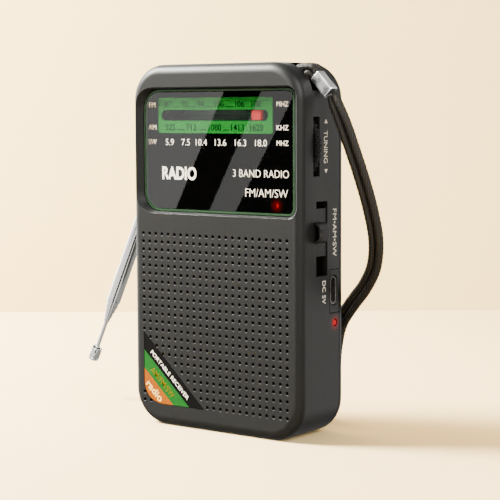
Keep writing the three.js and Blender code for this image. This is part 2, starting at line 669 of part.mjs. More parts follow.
function armBlock([x0, x1], [y0, y1], [z0, z1]) {
  const geometry = new THREE.BoxGeometry(x1 - x0, y1 - y0, z1 - z0);
  geometry.translate((x0 + x1) / 2, (y0 + y1) / 2, (z0 + z1) / 2);
  return solid(geometry);
}

function knuckleDisc(radius, y0, y1) {
  const geometry = new THREE.CylinderGeometry(radius, radius, y1 - y0, 20);
  geometry.translate(0, (y0 + y1) / 2, 0);
  return solid(geometry);
}

function antennaKnuckle() {
  return cut(
    joined(
      knuckleDisc(3.3, -2.3, 2.3),
      armBlock([-2, 2], [-2.1, 2.1], [-6.7, 0]),
      armTurned([[0, -10], [1.95, -10], [1.95, -6.4], [0, -6.4]]),
    ),
    knuckleDisc(1.65, -3, 3),
  );
}

place('antenna_knuckle', antennaKnuckle(), finishes.chrome, antennaArm);
antennaTubes.forEach(({ outer, inner, start, end }, i) => {
  const profile = [[inner, end], [outer, end], [outer, start], [inner, start], [inner, end]];
  place(`antenna_tube_${i + 1}`, armTurned(profile), finishes.chrome, antennaArm);
});
place('antenna_rod', armTurned([[0, -103.8], [0.7, -103.8], [0.7, antennaStart], [0, antennaStart]]),
  finishes.chrome, antennaArm);
place('antenna_tip', armTurned([
  [0, -105.3], [1.6, -105.3], [1.95, -104.9], [1.95, -100.2], [1.45, -100.2], [1.45, -104.1], [0, -104.1],
]), finishes.chrome, antennaArm);
place('antenna_pivot_screw', turned(antenna.x, antenna.z, [
  [0, 14.2], [1.3, 14.2], [1.3, 25.6], [2.6, 25.6], [2.6, 26.1], [2.2, 26.4], [0, 26.4],
], 20), finishes.steel);
place('antenna_nut', turned(antenna.x, antenna.z, [
  [1.6, 14.6], [2.6, 14.6], [2.6, 18.0], [1.6, 18.0], [1.6, 14.6],
], 6), finishes.steel);

// ---------------------------------------------------------------- wrist strap
place('strap_bar', pin(strapBar.x, strapBar.z, strapBar.radius, [pocketDepths[0] - 1, pocketDepths[1] + 1], 16),
  finishes.steel);

const clipAlong = new THREE.Vector2(Math.cos(strapClipAngle), Math.sin(strapClipAngle));
const clipAcross = new THREE.Vector2(-clipAlong.y, clipAlong.x);

function clipPoint(along, across) {
  return [
    strapClip.x + along * clipAlong.x + across * clipAcross.x,
    strapClip.z + along * clipAlong.y + across * clipAcross.y,
  ];
}

// The short loop round the bar, drawn in to two strands side by side at the clip.
function strapLoop() {
  const [endX, endZ] = clipPoint(-strapClip.length / 2 - gap - strapLoopThickness, 0);
  const end = { x: endX, z: endZ };
  const eye = strapBar.radius + 0.2;
  const outside = beltShape(strapBar, eye + strapLoopThickness, end, strapLoopThickness);
  outside.holes.push(beltShape(strapBar, eye, end, 0.3));
  return plate(outside, [strapDepth - strapLoopThickness, strapDepth + strapLoopThickness], 10);
}

function strapClipPiece() {
  const reach = strapClip.length / 2;
  const side = strapClip.width / 2;
  const corners = [[-reach, -side], [reach, -side], [reach, side], [-reach, side]];
  const shape = polygonShape(corners.map(([along, across]) => clipPoint(along, across)));
  return plate(shape, [strapDepth - strapClip.depth / 2, strapDepth + strapClip.depth / 2]);
}

function strapCordTube() {
  const route = new THREE.CatmullRomCurve3(strapRoute.map((point) => new THREE.Vector3(...point)));
  const section = new THREE.Shape();
  section.absarc(0, 0, strapCord / 2, 0, 4 * quarter, false);
  return new THREE.ExtrudeGeometry(section, { steps: 80, extrudePath: route, bevelEnabled: false, curveSegments: 4 });
}

place('strap_loop', strapLoop(), finishes.cord);
place('strap_cord', strapCordTube(), finishes.cord);
place('strap_clip', strapClipPiece(), finishes.chrome);

export default radio;
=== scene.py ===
import json
import math

import bmesh
import bpy
from mathutils import Matrix, Vector


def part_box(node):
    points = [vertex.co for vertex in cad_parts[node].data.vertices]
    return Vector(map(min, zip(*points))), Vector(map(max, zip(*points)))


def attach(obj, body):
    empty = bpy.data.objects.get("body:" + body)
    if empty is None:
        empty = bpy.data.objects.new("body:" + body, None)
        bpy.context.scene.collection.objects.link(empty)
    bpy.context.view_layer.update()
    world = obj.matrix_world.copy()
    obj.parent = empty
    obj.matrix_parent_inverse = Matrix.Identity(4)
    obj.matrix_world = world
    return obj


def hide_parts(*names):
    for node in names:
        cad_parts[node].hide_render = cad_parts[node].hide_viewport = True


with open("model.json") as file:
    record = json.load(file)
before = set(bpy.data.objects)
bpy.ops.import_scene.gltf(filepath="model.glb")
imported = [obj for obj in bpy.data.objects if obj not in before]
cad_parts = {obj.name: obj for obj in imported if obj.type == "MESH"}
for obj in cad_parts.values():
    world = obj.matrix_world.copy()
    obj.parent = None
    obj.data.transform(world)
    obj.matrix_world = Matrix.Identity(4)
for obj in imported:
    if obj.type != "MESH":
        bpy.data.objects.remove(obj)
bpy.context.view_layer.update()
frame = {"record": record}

bl_info = {
    "name": "Pocket shortwave receiver",
    "version": (1, 0, 0),
    "blender": (4, 5, 0),
    "location": "3D View > Sidebar > Receiver",
    "description": "Makes the visible pieces of a pocket receiver round its packed frame",
    "category": "Mesh",
}

# Lengths are in millimetres until a mesh is made. The case stands on z = 0 and its front faces -Y.
MM = 0.001


def node_box(node):
    """The lowest and highest corner of a CAD node, in millimetres."""
    low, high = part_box(node)
    return Vector(low) / MM, Vector(high) / MM


CASE_LOW, CASE_HIGH = node_box("front_shell")
REAR_Y = node_box("rear_shell")[1].y
FRONT_Y = CASE_LOW.y
SIDE_X = CASE_HIGH.x
CASE_HEIGHT = CASE_HIGH.z
CASE_DEPTH = REAR_Y - FRONT_Y
PARTING = CASE_HIGH.y - FRONT_Y + 0.15
CASE_CORNER = 12.0
CASE_EDGE = 3.4
WALL = 1.8
LEDGE_BACK = 5.7
GRILLE_TOP = 69.6
QUARTER = math.pi / 2
# Points closer than this become one, in metres.
WELD = 1e-7


def at_depth(depth):
    """The y place of a depth behind the front face."""
    return FRONT_Y + depth


# ------------------------------------------------------------------------------------ outlines


def arc(centre, radius, start, end, steps):
    """Points of an arc in the front view, from one angle to another."""
    points = []
    for i in range(steps + 1):
        angle = start + (end - start) * i / steps
        points.append((centre[0] + radius * math.cos(angle), centre[1] + radius * math.sin(angle)))
    return points


def rounded(left, right, bottom, top, radii, steps=16):
    """A rounded rectangle. The radii are bottom left, bottom right, top right and top left."""
    bottom_left, bottom_right, top_right, top_left = radii
    return (
        arc((right - bottom_right, bottom + bottom_right), bottom_right, -QUARTER, 0, steps)
        + arc((right - top_right, top - top_right), top_right, 0, QUARTER, steps)
        + arc((left + top_left, top - top_left), top_left, QUARTER, 2 * QUARTER, steps)
        + arc((left + bottom_left, bottom + bottom_left), bottom_left, 2 * QUARTER, 3 * QUARTER, steps)
    )


def centred(across, up, wide, tall, radius, steps):
    """A rounded rectangle about a point, from half its width and half its height."""
    return rounded(across - wide, across + wide, up - tall, up + tall, [radius] * 4, steps)


# ------------------------------------------------------------------------------------ meshes


def mesh_of(name, points, faces):
    """A mesh from points in millimetres."""
    mesh = bpy.data.meshes.new(name)
    mesh.from_pydata([tuple(c * MM for c in p) for p in points], [], faces)
    mesh.update()
    return mesh


def lofted(sections):
    """Points and faces of a closed skin through sections that have as many points each."""
    count = len(sections[0])
    points = [p for section in sections for p in section]
    faces = []
    for row in range(len(sections) - 1):
        base = row * count
        for i in range(count):
            j = (i + 1) % count
            faces.append((base + i, base + j, base + count + j, base + count + i))
    last = (len(sections) - 1) * count
    faces.append(tuple(range(count - 1, -1, -1)))
    faces.append(tuple(range(last, last + count)))
    return points, faces


def front_loft(sections):
    """A solid through (outline, depth) pairs, the outlines in the front view."""
    return lofted([[(x, at_depth(depth), z) for x, z in outline] for outline, depth in sections])


def side_loft(sections):
    """A solid through (outline, x) pairs, the outlines as (y, z) points."""
    return lofted([[(x, y, z) for y, z in outline] for outline, x in sections])


def box_solid(xs, depths, zs):
    """A box between pairs of places; its corners are rounded too little to see."""
    outline = rounded(*xs, *zs, [0.001] * 4, 1)
    return front_loft([(outline, depth) for depth in depths])


def revolved(profile, place, steps=48):
    """A solid of revolution. The profile is (radius, along) pairs, closed on itself or on the axis."""
    on_axis = profile[0][0] < 1e-6
    points = []
    faces = []
    rings = []
    for radius, along in profile:
        if radius < 1e-6:
            rings.append([len(points)])
            points.append(place(0, 0, along))
            continue
        rings.append(list(range(len(points), len(points) + steps)))
        for i in range(steps):
            angle = 4 * QUARTER * i / steps
            points.append(place(radius * math.cos(angle), radius * math.sin(angle), along))
    pairs = list(zip(rings, rings[1:]))
    if not on_axis:
        pairs.append((rings[-1], rings[0]))
    for low, high in pairs:
        for i in range(steps):
            j = (i + 1) % steps
            if len(low) == 1 and len(high) == 1:
                continue
            if len(low) == 1:
                faces.append((low[0], high[j], high[i]))
            elif len(high) == 1:
                faces.append((low[i], low[j], high[0]))
            else:
                faces.append((low[i], low[j], high[j], high[i]))
    return points, faces


def front_turned(x, z, profile, steps=48):
    """Revolved about a line along Y through (x, z); the profile's second value is a depth."""
    return revolved(profile, lambda a, b, depth: (x + a, at_depth(depth), z + b), steps)


def side_turned(y, z, profile, steps=32):
    """Revolved about a line along X; the profile's second value is an x place."""
    return revolved(profile, lambda a, b, x: (x, y + a, z + b), steps)


def merged(*solids):
    """Several solids' points and faces as one."""
    points = []
    faces = []
    for some_points, some_faces in solids:
        base = len(points)
        points.extend(some_points)
        faces.extend(tuple(base + i for i in face) for face in some_faces)
    return points, faces


def tidy(mesh):
    """Welds doubles and turns the faces outwards."""
    work = bmesh.new()
    work.from_mesh(mesh)
    bmesh.ops.remove_doubles(work, verts=work.verts, dist=WELD)
    bmesh.ops.recalc_face_normals(work, faces=work.faces)
    work.to_mesh(mesh)
    work.free()


def smoothed(mesh, degrees):
    """Smooth shading, with the edges that turn by more than an angle kept sharp."""
    mesh.polygons.foreach_set("use_smooth", [True] * len(mesh.polygons))
    mesh.set_sharp_from_angle(angle=math.radians(degrees))


def placed(name, data):
    """A new object in the scene."""
    thing = bpy.data.objects.new(name, data)
    bpy.context.scene.collection.objects.link(thing)
    return thing


def piece(name, solid, body, finish, replaces=(), smooth=32, even=False):
    """One visible piece that rides on a body, and stands for the CAD nodes named."""
    mesh = solid
    if not isinstance(solid, bpy.types.Mesh):
        mesh = mesh_of(name, *solid)
        tidy(mesh)
    mesh.name = name
    mesh.materials.append(finish_named(finish))
    if smooth:
        smoothed(mesh, smooth)
    thing = placed(name, mesh)
    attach(thing, body)
    if replaces:
        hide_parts(*replaces)
    if even:
        even_shading(thing)
    return thing


def even_shading(thing):
    """Lets large flat faces set the shading along their borders."""
    weighted = thing.modifiers.new("even shading", "WEIGHTED_NORMAL")
    weighted.keep_sharp = True
    weighted.weight = 100


class Carving:
    """A mesh that is cut and joined step by step."""

    def __init__(self, solid):
        self.thing = self.lump(solid)

    def lump(self, solid):
        mesh = mesh_of("lump", *solid)
        tidy(mesh)
        return placed("lump", mesh)

    def change(self, solid, operation):
        """One boolean operation with another solid."""
        tool = self.lump(solid)
        modifier = self.thing.modifiers.new("carve", "BOOLEAN")
        modifier.operation = operation
        modifier.solver = "MANIFOLD"
        modifier.object = tool
        graph = bpy.context.evaluated_depsgraph_get()
        carved = bpy.data.meshes.new_from_object(self.thing.evaluated_get(graph))
        if not carved.polygons:
            raise RuntimeError(f"nothing is left after {operation}")
        self.thing.modifiers.clear()
        old = self.thing.data
        self.thing.data = carved
        bpy.data.meshes.remove(old)
        bpy.data.meshes.remove(tool.data)
        return self

    def cut(self, *solids):
        for solid in solids:
            self.change(solid, "DIFFERENCE")
        return self

    def join(self, *solids):
        for solid in solids:
            self.change(solid, "UNION")
        return self

    def keep(self, solid):
        return self.change(solid, "INTERSECT")

    def mesh(self):
        """The finished mesh; the working object goes."""
        mesh = self.thing.data
        bpy.data.objects.remove(self.thing)
        mesh.materials.clear()
        return mesh

    def solid(self):
        """The finished shape as points and faces, to use in another one."""
        mesh = self.mesh()
        points = [tuple(vertex.co / MM) for vertex in mesh.vertices]
        faces = [tuple(face.vertices) for face in mesh.polygons]
        bpy.data.meshes.remove(mesh)
        return points, faces


# ------------------------------------------------------------------------------------ curves in space


def catmull(points, spacing):
    """Evenly spaced points along the centripetal Catmull-Rom curve through the points given."""
    given = [Vector(p) for p in points]
    ends = [2 * given[0] - given[1], *given, 2 * given[-1] - given[-2]]
    dense = []
    for p0, p1, p2, p3 in zip(ends, ends[1:], ends[2:], ends[3:]):
        t1 = (p1 - p0).length ** 0.5
        t2 = t1 + (p2 - p1).length ** 0.5
        t3 = t2 + (p3 - p2).length ** 0.5
        steps = max(6, int((p2 - p1).length / spacing * 2))
        for i in range(steps):
            t = t1 + (t2 - t1) * i / steps
            a1 = p0.lerp(p1, t / t1)
            a2 = p1.lerp(p2, (t - t1) / (t2 - t1))
            a3 = p2.lerp(p3, (t - t2) / (t3 - t2))
            b1 = a1.lerp(a2, t / t2)
            b2 = a2.lerp(a3, (t - t1) / (t3 - t1))
            dense.append(b1.lerp(b2, (t - t1) / (t2 - t1)))
    dense.append(given[-1])
    lengths = [0.0]
    for a, b in zip(dense, dense[1:]):
        lengths.append(lengths[-1] + (b - a).length)
    count = max(2, round(lengths[-1] / spacing))
    even = []
    at = 0
    for i in range(count + 1):
        want = lengths[-1] * i / count
        while at < len(lengths) - 2 and lengths[at + 1] < want:
            at += 1
        share = (want - lengths[at]) / max(lengths[at + 1] - lengths[at], 1e-9)
        even.append(dense[at].lerp(dense[at + 1], share))
    return even


SQUEEZED_LENGTH = 3.0


def braided_tube(path, radius, around=40, strands=5, pitch=2.2, relief=0.17, ends=1.0):
    """A round braid along a path. It swells where strands cross, and its ends may be squeezed."""
    tangents = [
        (path[min(i + 1, len(path) - 1)] - path[max(i - 1, 0)]).normalized() for i in range(len(path))
    ]
    side = tangents[0].orthogonal().normalized()
    rings = []
    travelled = 0.0
    whole = sum((b - a).length for a, b in zip(path, path[1:]))
    for i, (point, tangent) in enumerate(zip(path, tangents)):
        if i:
            side = tangents[i - 1].rotation_difference(tangent) @ side
            travelled += (point - path[i - 1]).length
        side = (side - tangent * side.dot(tangent)).normalized()
        across = tangent.cross(side)
        pinch = ends + (1 - ends) * min(min(travelled, whole - travelled) / SQUEEZED_LENGTH, 1)
        ring = []
        for j in range(around):
            angle = 4 * QUARTER * j / around
            turn = strands * angle
            run = 4 * QUARTER * travelled / pitch
            swell = math.sin(turn + run) * math.sin(turn - run)
            reach = (radius - relief * (0.5 - 0.5 * swell)) * pinch
            ring.append(tuple(point + (side * math.cos(angle) + across * math.sin(angle)) * reach))
        rings.append(ring)
    return lofted(rings)


# ------------------------------------------------------------------------------------ shader maths


class Socket:
    """An output socket that takes part in Python arithmetic; each operator adds a Math node."""

    def __init__(self, finish, socket):
        self.finish = finish
        self.socket = socket

    def maths(self, operation, *others):
        return self.finish.node("ShaderNodeMath", {"operation": operation}, dict(enumerate((self, *others))))

    def __add__(self, other):
        return self.maths("ADD", other)

    def __sub__(self, other):
        return self.maths("SUBTRACT", other)

    def __rsub__(self, other):
        return self.finish.node("ShaderNodeMath", {"operation": "SUBTRACT"}, {0: other, 1: self})

    def __mul__(self, other):
        return self.maths("MULTIPLY", other)

    def __abs__(self):
        return self.maths("ABSOLUTE")

    def __gt__(self, other):
        return self.maths("GREATER_THAN", other)

    def __lt__(self, other):
        return self.maths("LESS_THAN", other)

    def at_least(self, other):
        return self.maths("MAXIMUM", other)

    def sine(self):
        return self.maths("SINE")

    def root(self):
        return self.maths("SQRT")


class Finish:
    """A material with a Principled shader, made node by node."""

    def __init__(self, name, **constants):
        self.material = bpy.data.materials.new(name)
        self.material.use_nodes = True
        self.tree = self.material.node_tree
        self.shader = self.tree.nodes["Principled BSDF"]
        self.output = self.tree.nodes["Material Output"]
        for name_, value in constants.items():
            self.shader.inputs[name_.replace("_", " ")].default_value = value

    def node(self, kind, settings=None, inputs=None, output=0):
        """Adds a node, with its settings first and then its sockets' values or links."""
        made = self.tree.nodes.new(kind)
        for key, value in (settings or {}).items():
            setattr(made, key, value)
        for key, value in (inputs or {}).items():
            if isinstance(value, Socket):
                self.tree.links.new(value.socket, made.inputs[key])
            else:
                made.inputs[key].default_value = value
        return Socket(self, made.outputs[output])

    def feed(self, **values):
        for name, value in values.items():
            self.tree.links.new(value.socket, self.shader.inputs[name.replace("_", " ")])
        return self

    def place(self):
        """The point on the piece, in millimetres in the part's frame."""
        coordinates = self.node("ShaderNodeTexCoord", output="Object")
        return self.node("ShaderNodeVectorMath", {"operation": "SCALE"}, {0: coordinates, "Scale": 1 / MM})

    def split(self, vector):
        parts = self.node("ShaderNodeSeparateXYZ", None, {0: vector})
        outputs = parts.socket.node.outputs
        return [Socket(self, outputs[i]) for i in range(3)]

    def noise(self, vector, scale, detail=2.0, roughness=0.5):
        return self.node(
            "ShaderNodeTexNoise", None,
            {"Vector": vector, "Scale": scale, "Detail": detail, "Roughness": roughness},
        )

    def mix(self, share, first, second):
        """A colour between two; 6, 7 and 2 are the Mix node's colour sockets."""
        return self.node("ShaderNodeMix", {"data_type": "RGBA"}, {0: share, 6: first, 7: second}, output=2)

    def spread(self, value, low, high, to_low, to_high):
        return self.node(
            "ShaderNodeMapRange", {"clamp": True},
            {"Value": value, "From Min": low, "From Max": high, "To Min": to_low, "To Max": to_high},
        )

    def along_noise(self, value, to_low, to_high):
        """Spreads the middle of a noise, where nearly all of it lies, over a range."""
        return self.spread(value, 0.3, 0.7, to_low, to_high)

    def mottled(self, cloud, colour, darkest, lightest):
        """A colour that wanders between two shades of itself with a noise."""
        return self.mix(self.along_noise(cloud, 0, 1), shade(colour, darkest), shade(colour, lightest))

    def nearness(self, across, up, inner, outer):
        """1 within the inner radius of a point, falling to 0 at the outer one."""
        return self.spread((across * across + up * up).root(), inner, outer, 1, 0)

    def lit(self, strength, colour=None):
        """Sets the emission's strength, and its colour where that is one colour."""
        self.shader.inputs["Emission Strength"].default_value = strength
        if colour:
            self.shader.inputs["Emission Color"].default_value = colour
        return self

    def surface(self, share, first, second):
        """Sends a mix of two shaders to the output instead."""
        mixed = self.node("ShaderNodeMixShader", None, {0: share, 1: first, 2: second})
        self.tree.links.new(mixed.socket, self.output.inputs["Surface"])
        return self

    def bump(self, height, strength, distance):
        return self.node(
            "ShaderNodeBump", None, {"Strength": strength, "Distance": distance * MM, "Height": height})


def rgb(red, green, blue):
    """A colour given as it shows on a screen, 0 to 255, as linear light."""
    def linear(value):
        value /= 255
        return value / 12.92 if value <= 0.04045 else ((value + 0.055) / 1.055) ** 2.4
    return (linear(red), linear(green), linear(blue), 1.0)


def shade(colour, factor):
    return (*(c * factor for c in colour[:3]), 1.0)


FINISHES = {}


def finish_named(name):
    """Makes each finish once, from the table of plain ones or with its own maker."""
    if name not in FINISHES:
        if name in PLAIN_FINISHES:
            maker, colour, *rest = PLAIN_FINISHES[name]
            finish = maker(name, chosen(*colour) if isinstance(colour[0], str) else colour, *rest)
        else:
            finish = OWN_MAKERS[name]()
        FINISHES[name] = finish.material
    return FINISHES[name]


def moulded(name, colour, roughness, grain=0.02, scale=3.2, specular=0.5, hollow=None):
    """Moulded plastic with a fine grain and faint mottling; inside the hollow mask it gets painted shade and
    is dull.
    """
    finish = Finish(name, Specular_IOR_Level=specular)
    place = finish.place()
    fine = finish.noise(place, scale, 3, 0.6)
    broad = finish.noise(place, 0.09, 2)
    base = finish.mottled(broad, colour, 0.92, 1.08)
    gloss = finish.along_noise(fine, roughness - 0.06, roughness + 0.06)
    if hollow:
        # Painted shade: inside the hollow mask the colour falls to a fifth and the plastic is duller.
        mask = hollow(*finish.split(place))
        base = finish.mix(mask, base, shade(colour, 0.2))
        gloss = gloss + mask * 0.5
    return finish.feed(Base_Color=base, Roughness=gloss, Normal=finish.bump(fine, 0.5, grain))


def metal(name, colour, roughness, scratches=True, stretch=(6, 6, 0.4)):
    """Bare or plated metal with fine drawn lines along its length."""
    finish = Finish(name, Base_Color=colour, Metallic=1.0)
    place = finish.place()
    drawn = finish.node("ShaderNodeVectorMath", {"operation": "MULTIPLY"}, {0: place, 1: stretch})
    lines = finish.noise(drawn, 1.0, 3)
    finish.feed(Roughness=finish.along_noise(lines, roughness * 0.7, roughness * 1.4))
    if scratches:
        finish.feed(Normal=finish.bump(lines, 0.15, 0.01))
    return finish


def painted(name, colour, roughness, coat=0.0, specular=0.5):
    """Printed or moulded gloss with a little unevenness."""
    finish = Finish(name, Coat_Roughness=0.05, Coat_Weight=coat, Specular_IOR_Level=specular)
    place = finish.place()
    cloud = finish.noise(place, 0.8, 2)
    return finish.feed(
        Base_Color=finish.mottled(cloud, colour, 0.94, 1.04),
        Roughness=finish.along_noise(cloud, roughness * 0.85, roughness * 1.15),
    )


def in_sound_hole(x, y, z):
    """1 on the walls of the grille's holes, where painted shade darkens the plastic."""
    return (y > at_depth(0.35)) * (y < at_depth(WALL + 0.5)) * (abs(x) < 30.5) * (z > 6) * (z < GRILLE_TOP)


def case_plastic():
    """The case's plastic, with painted shade in the grille's holes and the charge lamp's glow painted on the
    side round it as emission.
    """
    finish = moulded("case_plastic", chosen("receiver_case", "colour"), 0.44, 0.02, 3.4, 0.19, in_sound_hole)
    x, y, z = finish.split(finish.place())
    # Painted light: the charge lamp's red glow is emission of the case plastic round the lamp.
    near = finish.nearness(y - at_depth(CHARGE_DEPTH), z - CHARGE_Z, 0.9, 3.6)
    glow = finish.mix(near * near * (x > SIDE_X - 0.5), rgb(0, 0, 0), rgb(255, 12, 14))
    return finish.lit(0.22).feed(Emission_Color=glow)


def clear_lens():
    """Clear acrylic: it mirrors by its angle and otherwise lets the scale behind it show."""
    finish = Finish("clear_lens", Base_Color=(0.0, 0.0, 0.0, 1), Roughness=0.02, Metallic=0.0)
    mirror = finish.node("ShaderNodeBsdfGlossy", None, {"Color": (1, 1, 1, 1), "Roughness": 0.015})
    clear = finish.node("ShaderNodeBsdfTransparent")
    outside = 1 - finish.node("ShaderNodeNewGeometry", output="Backfacing")
    share = finish.node("ShaderNodeFresnel", None, {"IOR": 1.8}) * outside
    return finish.surface(share, clear, mirror)


def rounded_mask(x, z, left, right, bottom, top, radius):
    """1 inside a rounded rectangle of the front view, and 0 outside."""
    across = (abs(x - (left + right) / 2) - ((right - left) / 2 - radius)).at_least(0)
    up = (abs(z - (bottom + top) / 2) - ((top - bottom) / 2 - radius)).at_least(0)
    return (across * across + up * up).root() < radius


def dial_print():
    """The back-printed scale: black, with the green panel of the two upper bands painted lighter at its lower
    left, and the tuning lamp's halo painted on as emission.
    """
    finish = Finish("dial_print", Roughness=0.6, Specular_IOR_Level=0.0)
    place = finish.place()
    x, _, z = finish.split(place)
    panel = rounded_mask(x, z, *DIAL_PANEL, 0.5)
    # Painted light: the green panel is lighter at its lower left and darker towards its upper right.
    glow = finish.spread(x + z * 0.5, 20, 75, 0, 1)
    colour = chosen("receiver_window", "panel")
    green = finish.mix(glow, colour, shade(colour, 0.82))
    cloud = finish.noise(place, 1.6, 2)
    green = finish.mix(finish.along_noise(cloud, 0, 0.12), green, shade(colour, 0.4))
    # Painted light: the tuning lamp's red halo is emission of the printed scale round the lamp.
    near = finish.nearness(x - LAMP_X, z - LAMP_Z, 0.8, 3.4)
    return finish.lit(0.17).feed(
        Base_Color=finish.mix(panel, rgb(2, 2, 2), green),
        Emission_Color=finish.mix(near * near * near, rgb(0, 0, 0), rgb(255, 20, 22)),
    )


def label_film():
    """Three diagonal bands: black, green and orange."""
    finish = Finish("label_film", Roughness=0.5, Specular_IOR_Level=0.04)
    place = finish.place()
    x, _, z = finish.split(place)
    run = x - LABEL_LEFT + (z - LABEL_BOTTOM) * LABEL_SLOPE
    cloud = finish.noise(place, 1.2, 2)
    outer, middle, corner = [chosen("receiver_label", band) for band in ("outer", "middle", "corner")]
    orange = finish.mix(cloud, shade(corner, 0.92), shade(corner, 1.08))
    green = finish.mix(cloud, shade(middle, 0.9), shade(middle, 1.1))
    colours = finish.mix(run > LABEL_ORANGE, orange, green)
    return finish.feed(Base_Color=finish.mix(run > LABEL_GREEN, colours, outer))


def red_paint():
    """The pointer's paint, with a little painted glow of its own, though it is no lamp, so that it shows well
    through the lens.
    """
    paint = painted("red_paint", chosen("receiver_window", "pointer"), 0.6, 0.0, 0.1)
    return paint.lit(0.18, rgb(222, 20, 18))


def lamp_red():
    """A lit red lamp."""
    return painted("lamp_red", rgb(60, 1, 2), 0.4, 0.0, 0.1).lit(0.6, (1.0, 0.0, 0.008, 1))


def braid():
    """Plaited cord: near-black yarn with brown flecks, which are partly lighter yarn and partly a painted
    sheen where the strands cross; matt in its hollows.
    """
    finish = Finish("braid", Specular_IOR_Level=0.18)
    place = finish.place()
    yarn = finish.noise(place, 3.2, 3, 0.6)
    x, y, z = finish.split(place)
    round_ = x * 0.8 + y * 0.6
    # Painted sheen: a chevron hatch of the fleck colour that stands partly for light catching the strands.
    hatch = ((z + round_) * 4.3).sine() * ((z - round_) * 4.3).sine()
    flecks = finish.spread(hatch, 0.0, 0.6, 0, 1)
    colour = chosen("receiver_strap", "yarn")
    base = finish.mix(yarn, shade(colour, 0.2), colour)
    return finish.feed(
        Base_Color=finish.mix(flecks * yarn, base, chosen("receiver_strap", "fleck")),
        Roughness=finish.along_noise(yarn, 0.5, 0.75),
        Normal=finish.bump(yarn, 0.5, 0.03),
    )


def chrome():
    """The antenna's bright plating."""
    polish = bpy.context.scene.receiver_antenna.roughness
    return metal("chrome", chosen("receiver_antenna", "plating"), polish, False)


def solder_mask():
    """Green board: copper traces show as a faint grid of lighter lines."""
    finish = Finish("solder_mask", Coat_Weight=0.3)
    place = finish.place()
    x, _, z = finish.split(place)
    tracks = abs((x * 2.4).sine()) * abs((z * 2.4).sine())
    return finish.feed(
        Base_Color=finish.mix(finish.spread(tracks, 0.05, 0.2, 1, 0), rgb(14, 84, 44), rgb(30, 116, 62)),
        Roughness=finish.along_noise(finish.noise(place, 2, 2), 0.3, 0.45),
    )


OWN_MAKERS = {
    maker.__name__: maker
    for maker in (
        case_plastic, clear_lens, dial_print, label_film, red_paint, lamp_red, braid, chrome, solder_mask)
}

# The other finishes: a maker, a colour or where it is set, and then what else the maker takes.
PLAIN_FINISHES = {
    "black_plastic": (moulded, rgb(12, 12, 12), 0.4, 0.012, 4, 0.15),
    "wheel_black": (moulded, rgb(3, 3, 3), 0.5, 0.01, 4, 0.08),
    "felt": (moulded, rgb(3, 3, 3), 0.95, 0.06, 2.2, 0.0),
    "paper_pulp": (moulded, rgb(40, 37, 32), 0.9, 0.05, 1.5, 0.2),
    "ferrite": (moulded, rgb(44, 44, 47), 0.55, 0.03, 2),
    "nylon": (moulded, rgb(226, 222, 208), 0.45, 0.01, 2),
    "clip_metal": (metal, (0.8, 0.8, 0.79, 1), 0.3, False, (0.25, 0.25, 0.25)),
    "steel": (metal, (0.62, 0.61, 0.59, 1), 0.3),
    "dark_steel": (metal, (0.3, 0.29, 0.28, 1), 0.35),
    "copper": (metal, (0.72, 0.36, 0.2, 1), 0.28),
    "trim_green": (painted, ("receiver_window", "trim"), 0.35),
    "white_ink": (painted, ("receiver_window", "ink"), 0.8, 0.0, 0.0),
    "dark_ink": (painted, rgb(2, 8, 3), 0.8, 0.0, 0.0),
    "case_ink": (painted, ("receiver_case", "ink"), 0.8, 0.0, 0.0),
    "olive_ink": (painted, rgb(76, 74, 6), 0.8, 0.0, 0.0),
    "cream_ink": (painted, rgb(190, 160, 92), 0.8, 0.0, 0.0),
    "shrink_film": (painted, rgb(34, 74, 150), 0.3, 0.4),
}


# ------------------------------------------------------------------------------------ settings


def length_property(name, description, default):
    return bpy.props.FloatProperty(
        name=name, description=description, default=default * MM, min=0.0, unit="LENGTH", subtype="DISTANCE")


def colour_property(name, description, default):
    return bpy.props.FloatVectorProperty(
        name=name, description=description, default=default[:3], min=0.0, max=1.0, size=3, subtype="COLOR")


def power_property(name, description, default):
    return bpy.props.FloatProperty(
        name=name, description=description, default=default, min=0.0, unit="POWER")


class CaseSettings(bpy.types.PropertyGroup):
    """Sizes and colours of the case and its grille."""

    colour: colour_property("Case colour", "Colour of the moulded case", rgb(11, 12, 12))
    hole: length_property("Grille hole", "Diameter of one sound hole", 1.05)
    pitch: length_property("Grille pitch", "Distance between neighbouring sound holes", 2.7)
    ink: colour_property("Case lettering", "Colour of the words printed on the case", rgb(152, 156, 162))


class WindowSettings(bpy.types.PropertyGroup):
    """Sizes and colours of the dial window."""

    panel: colour_property("Dial panel", "Colour of the panel behind the two upper bands", rgb(17, 83, 30))
    trim: colour_property("Window trim", "Colour of the line round the window", rgb(8, 43, 12))
    ink: colour_property("Dial lettering", "Colour of the words on the window", rgb(206, 206, 204))
    pointer: colour_property("Pointer", "Colour of the dial pointer", rgb(122, 2, 2))


class LabelSettings(bpy.types.PropertyGroup):
    """Colours of the corner label."""

    outer: colour_property("Outer band", "Colour of the band along the long edge", rgb(4, 4, 4))
    middle: colour_property("Middle band", "Colour of the band in the middle", rgb(10, 64, 20))
    corner: colour_property("Corner", "Colour of the corner itself", rgb(104, 54, 0))


class StrapSettings(bpy.types.PropertyGroup):
    """Sizes and colours of the wrist strap."""

    diameter: length_property("Cord diameter", "Diameter of the braided cord", 2.6)
    pitch: length_property("Braid pitch", "Length of one turn of a plaited strand", 3.4)
    yarn: colour_property("Yarn", "Main colour of the braid", rgb(18, 17, 15))
    # The flecks are partly lighter yarn and partly painted sheen of the braid.
    fleck: colour_property("Flecks", "Colour of the lighter yarn in the braid", rgb(48, 44, 36))


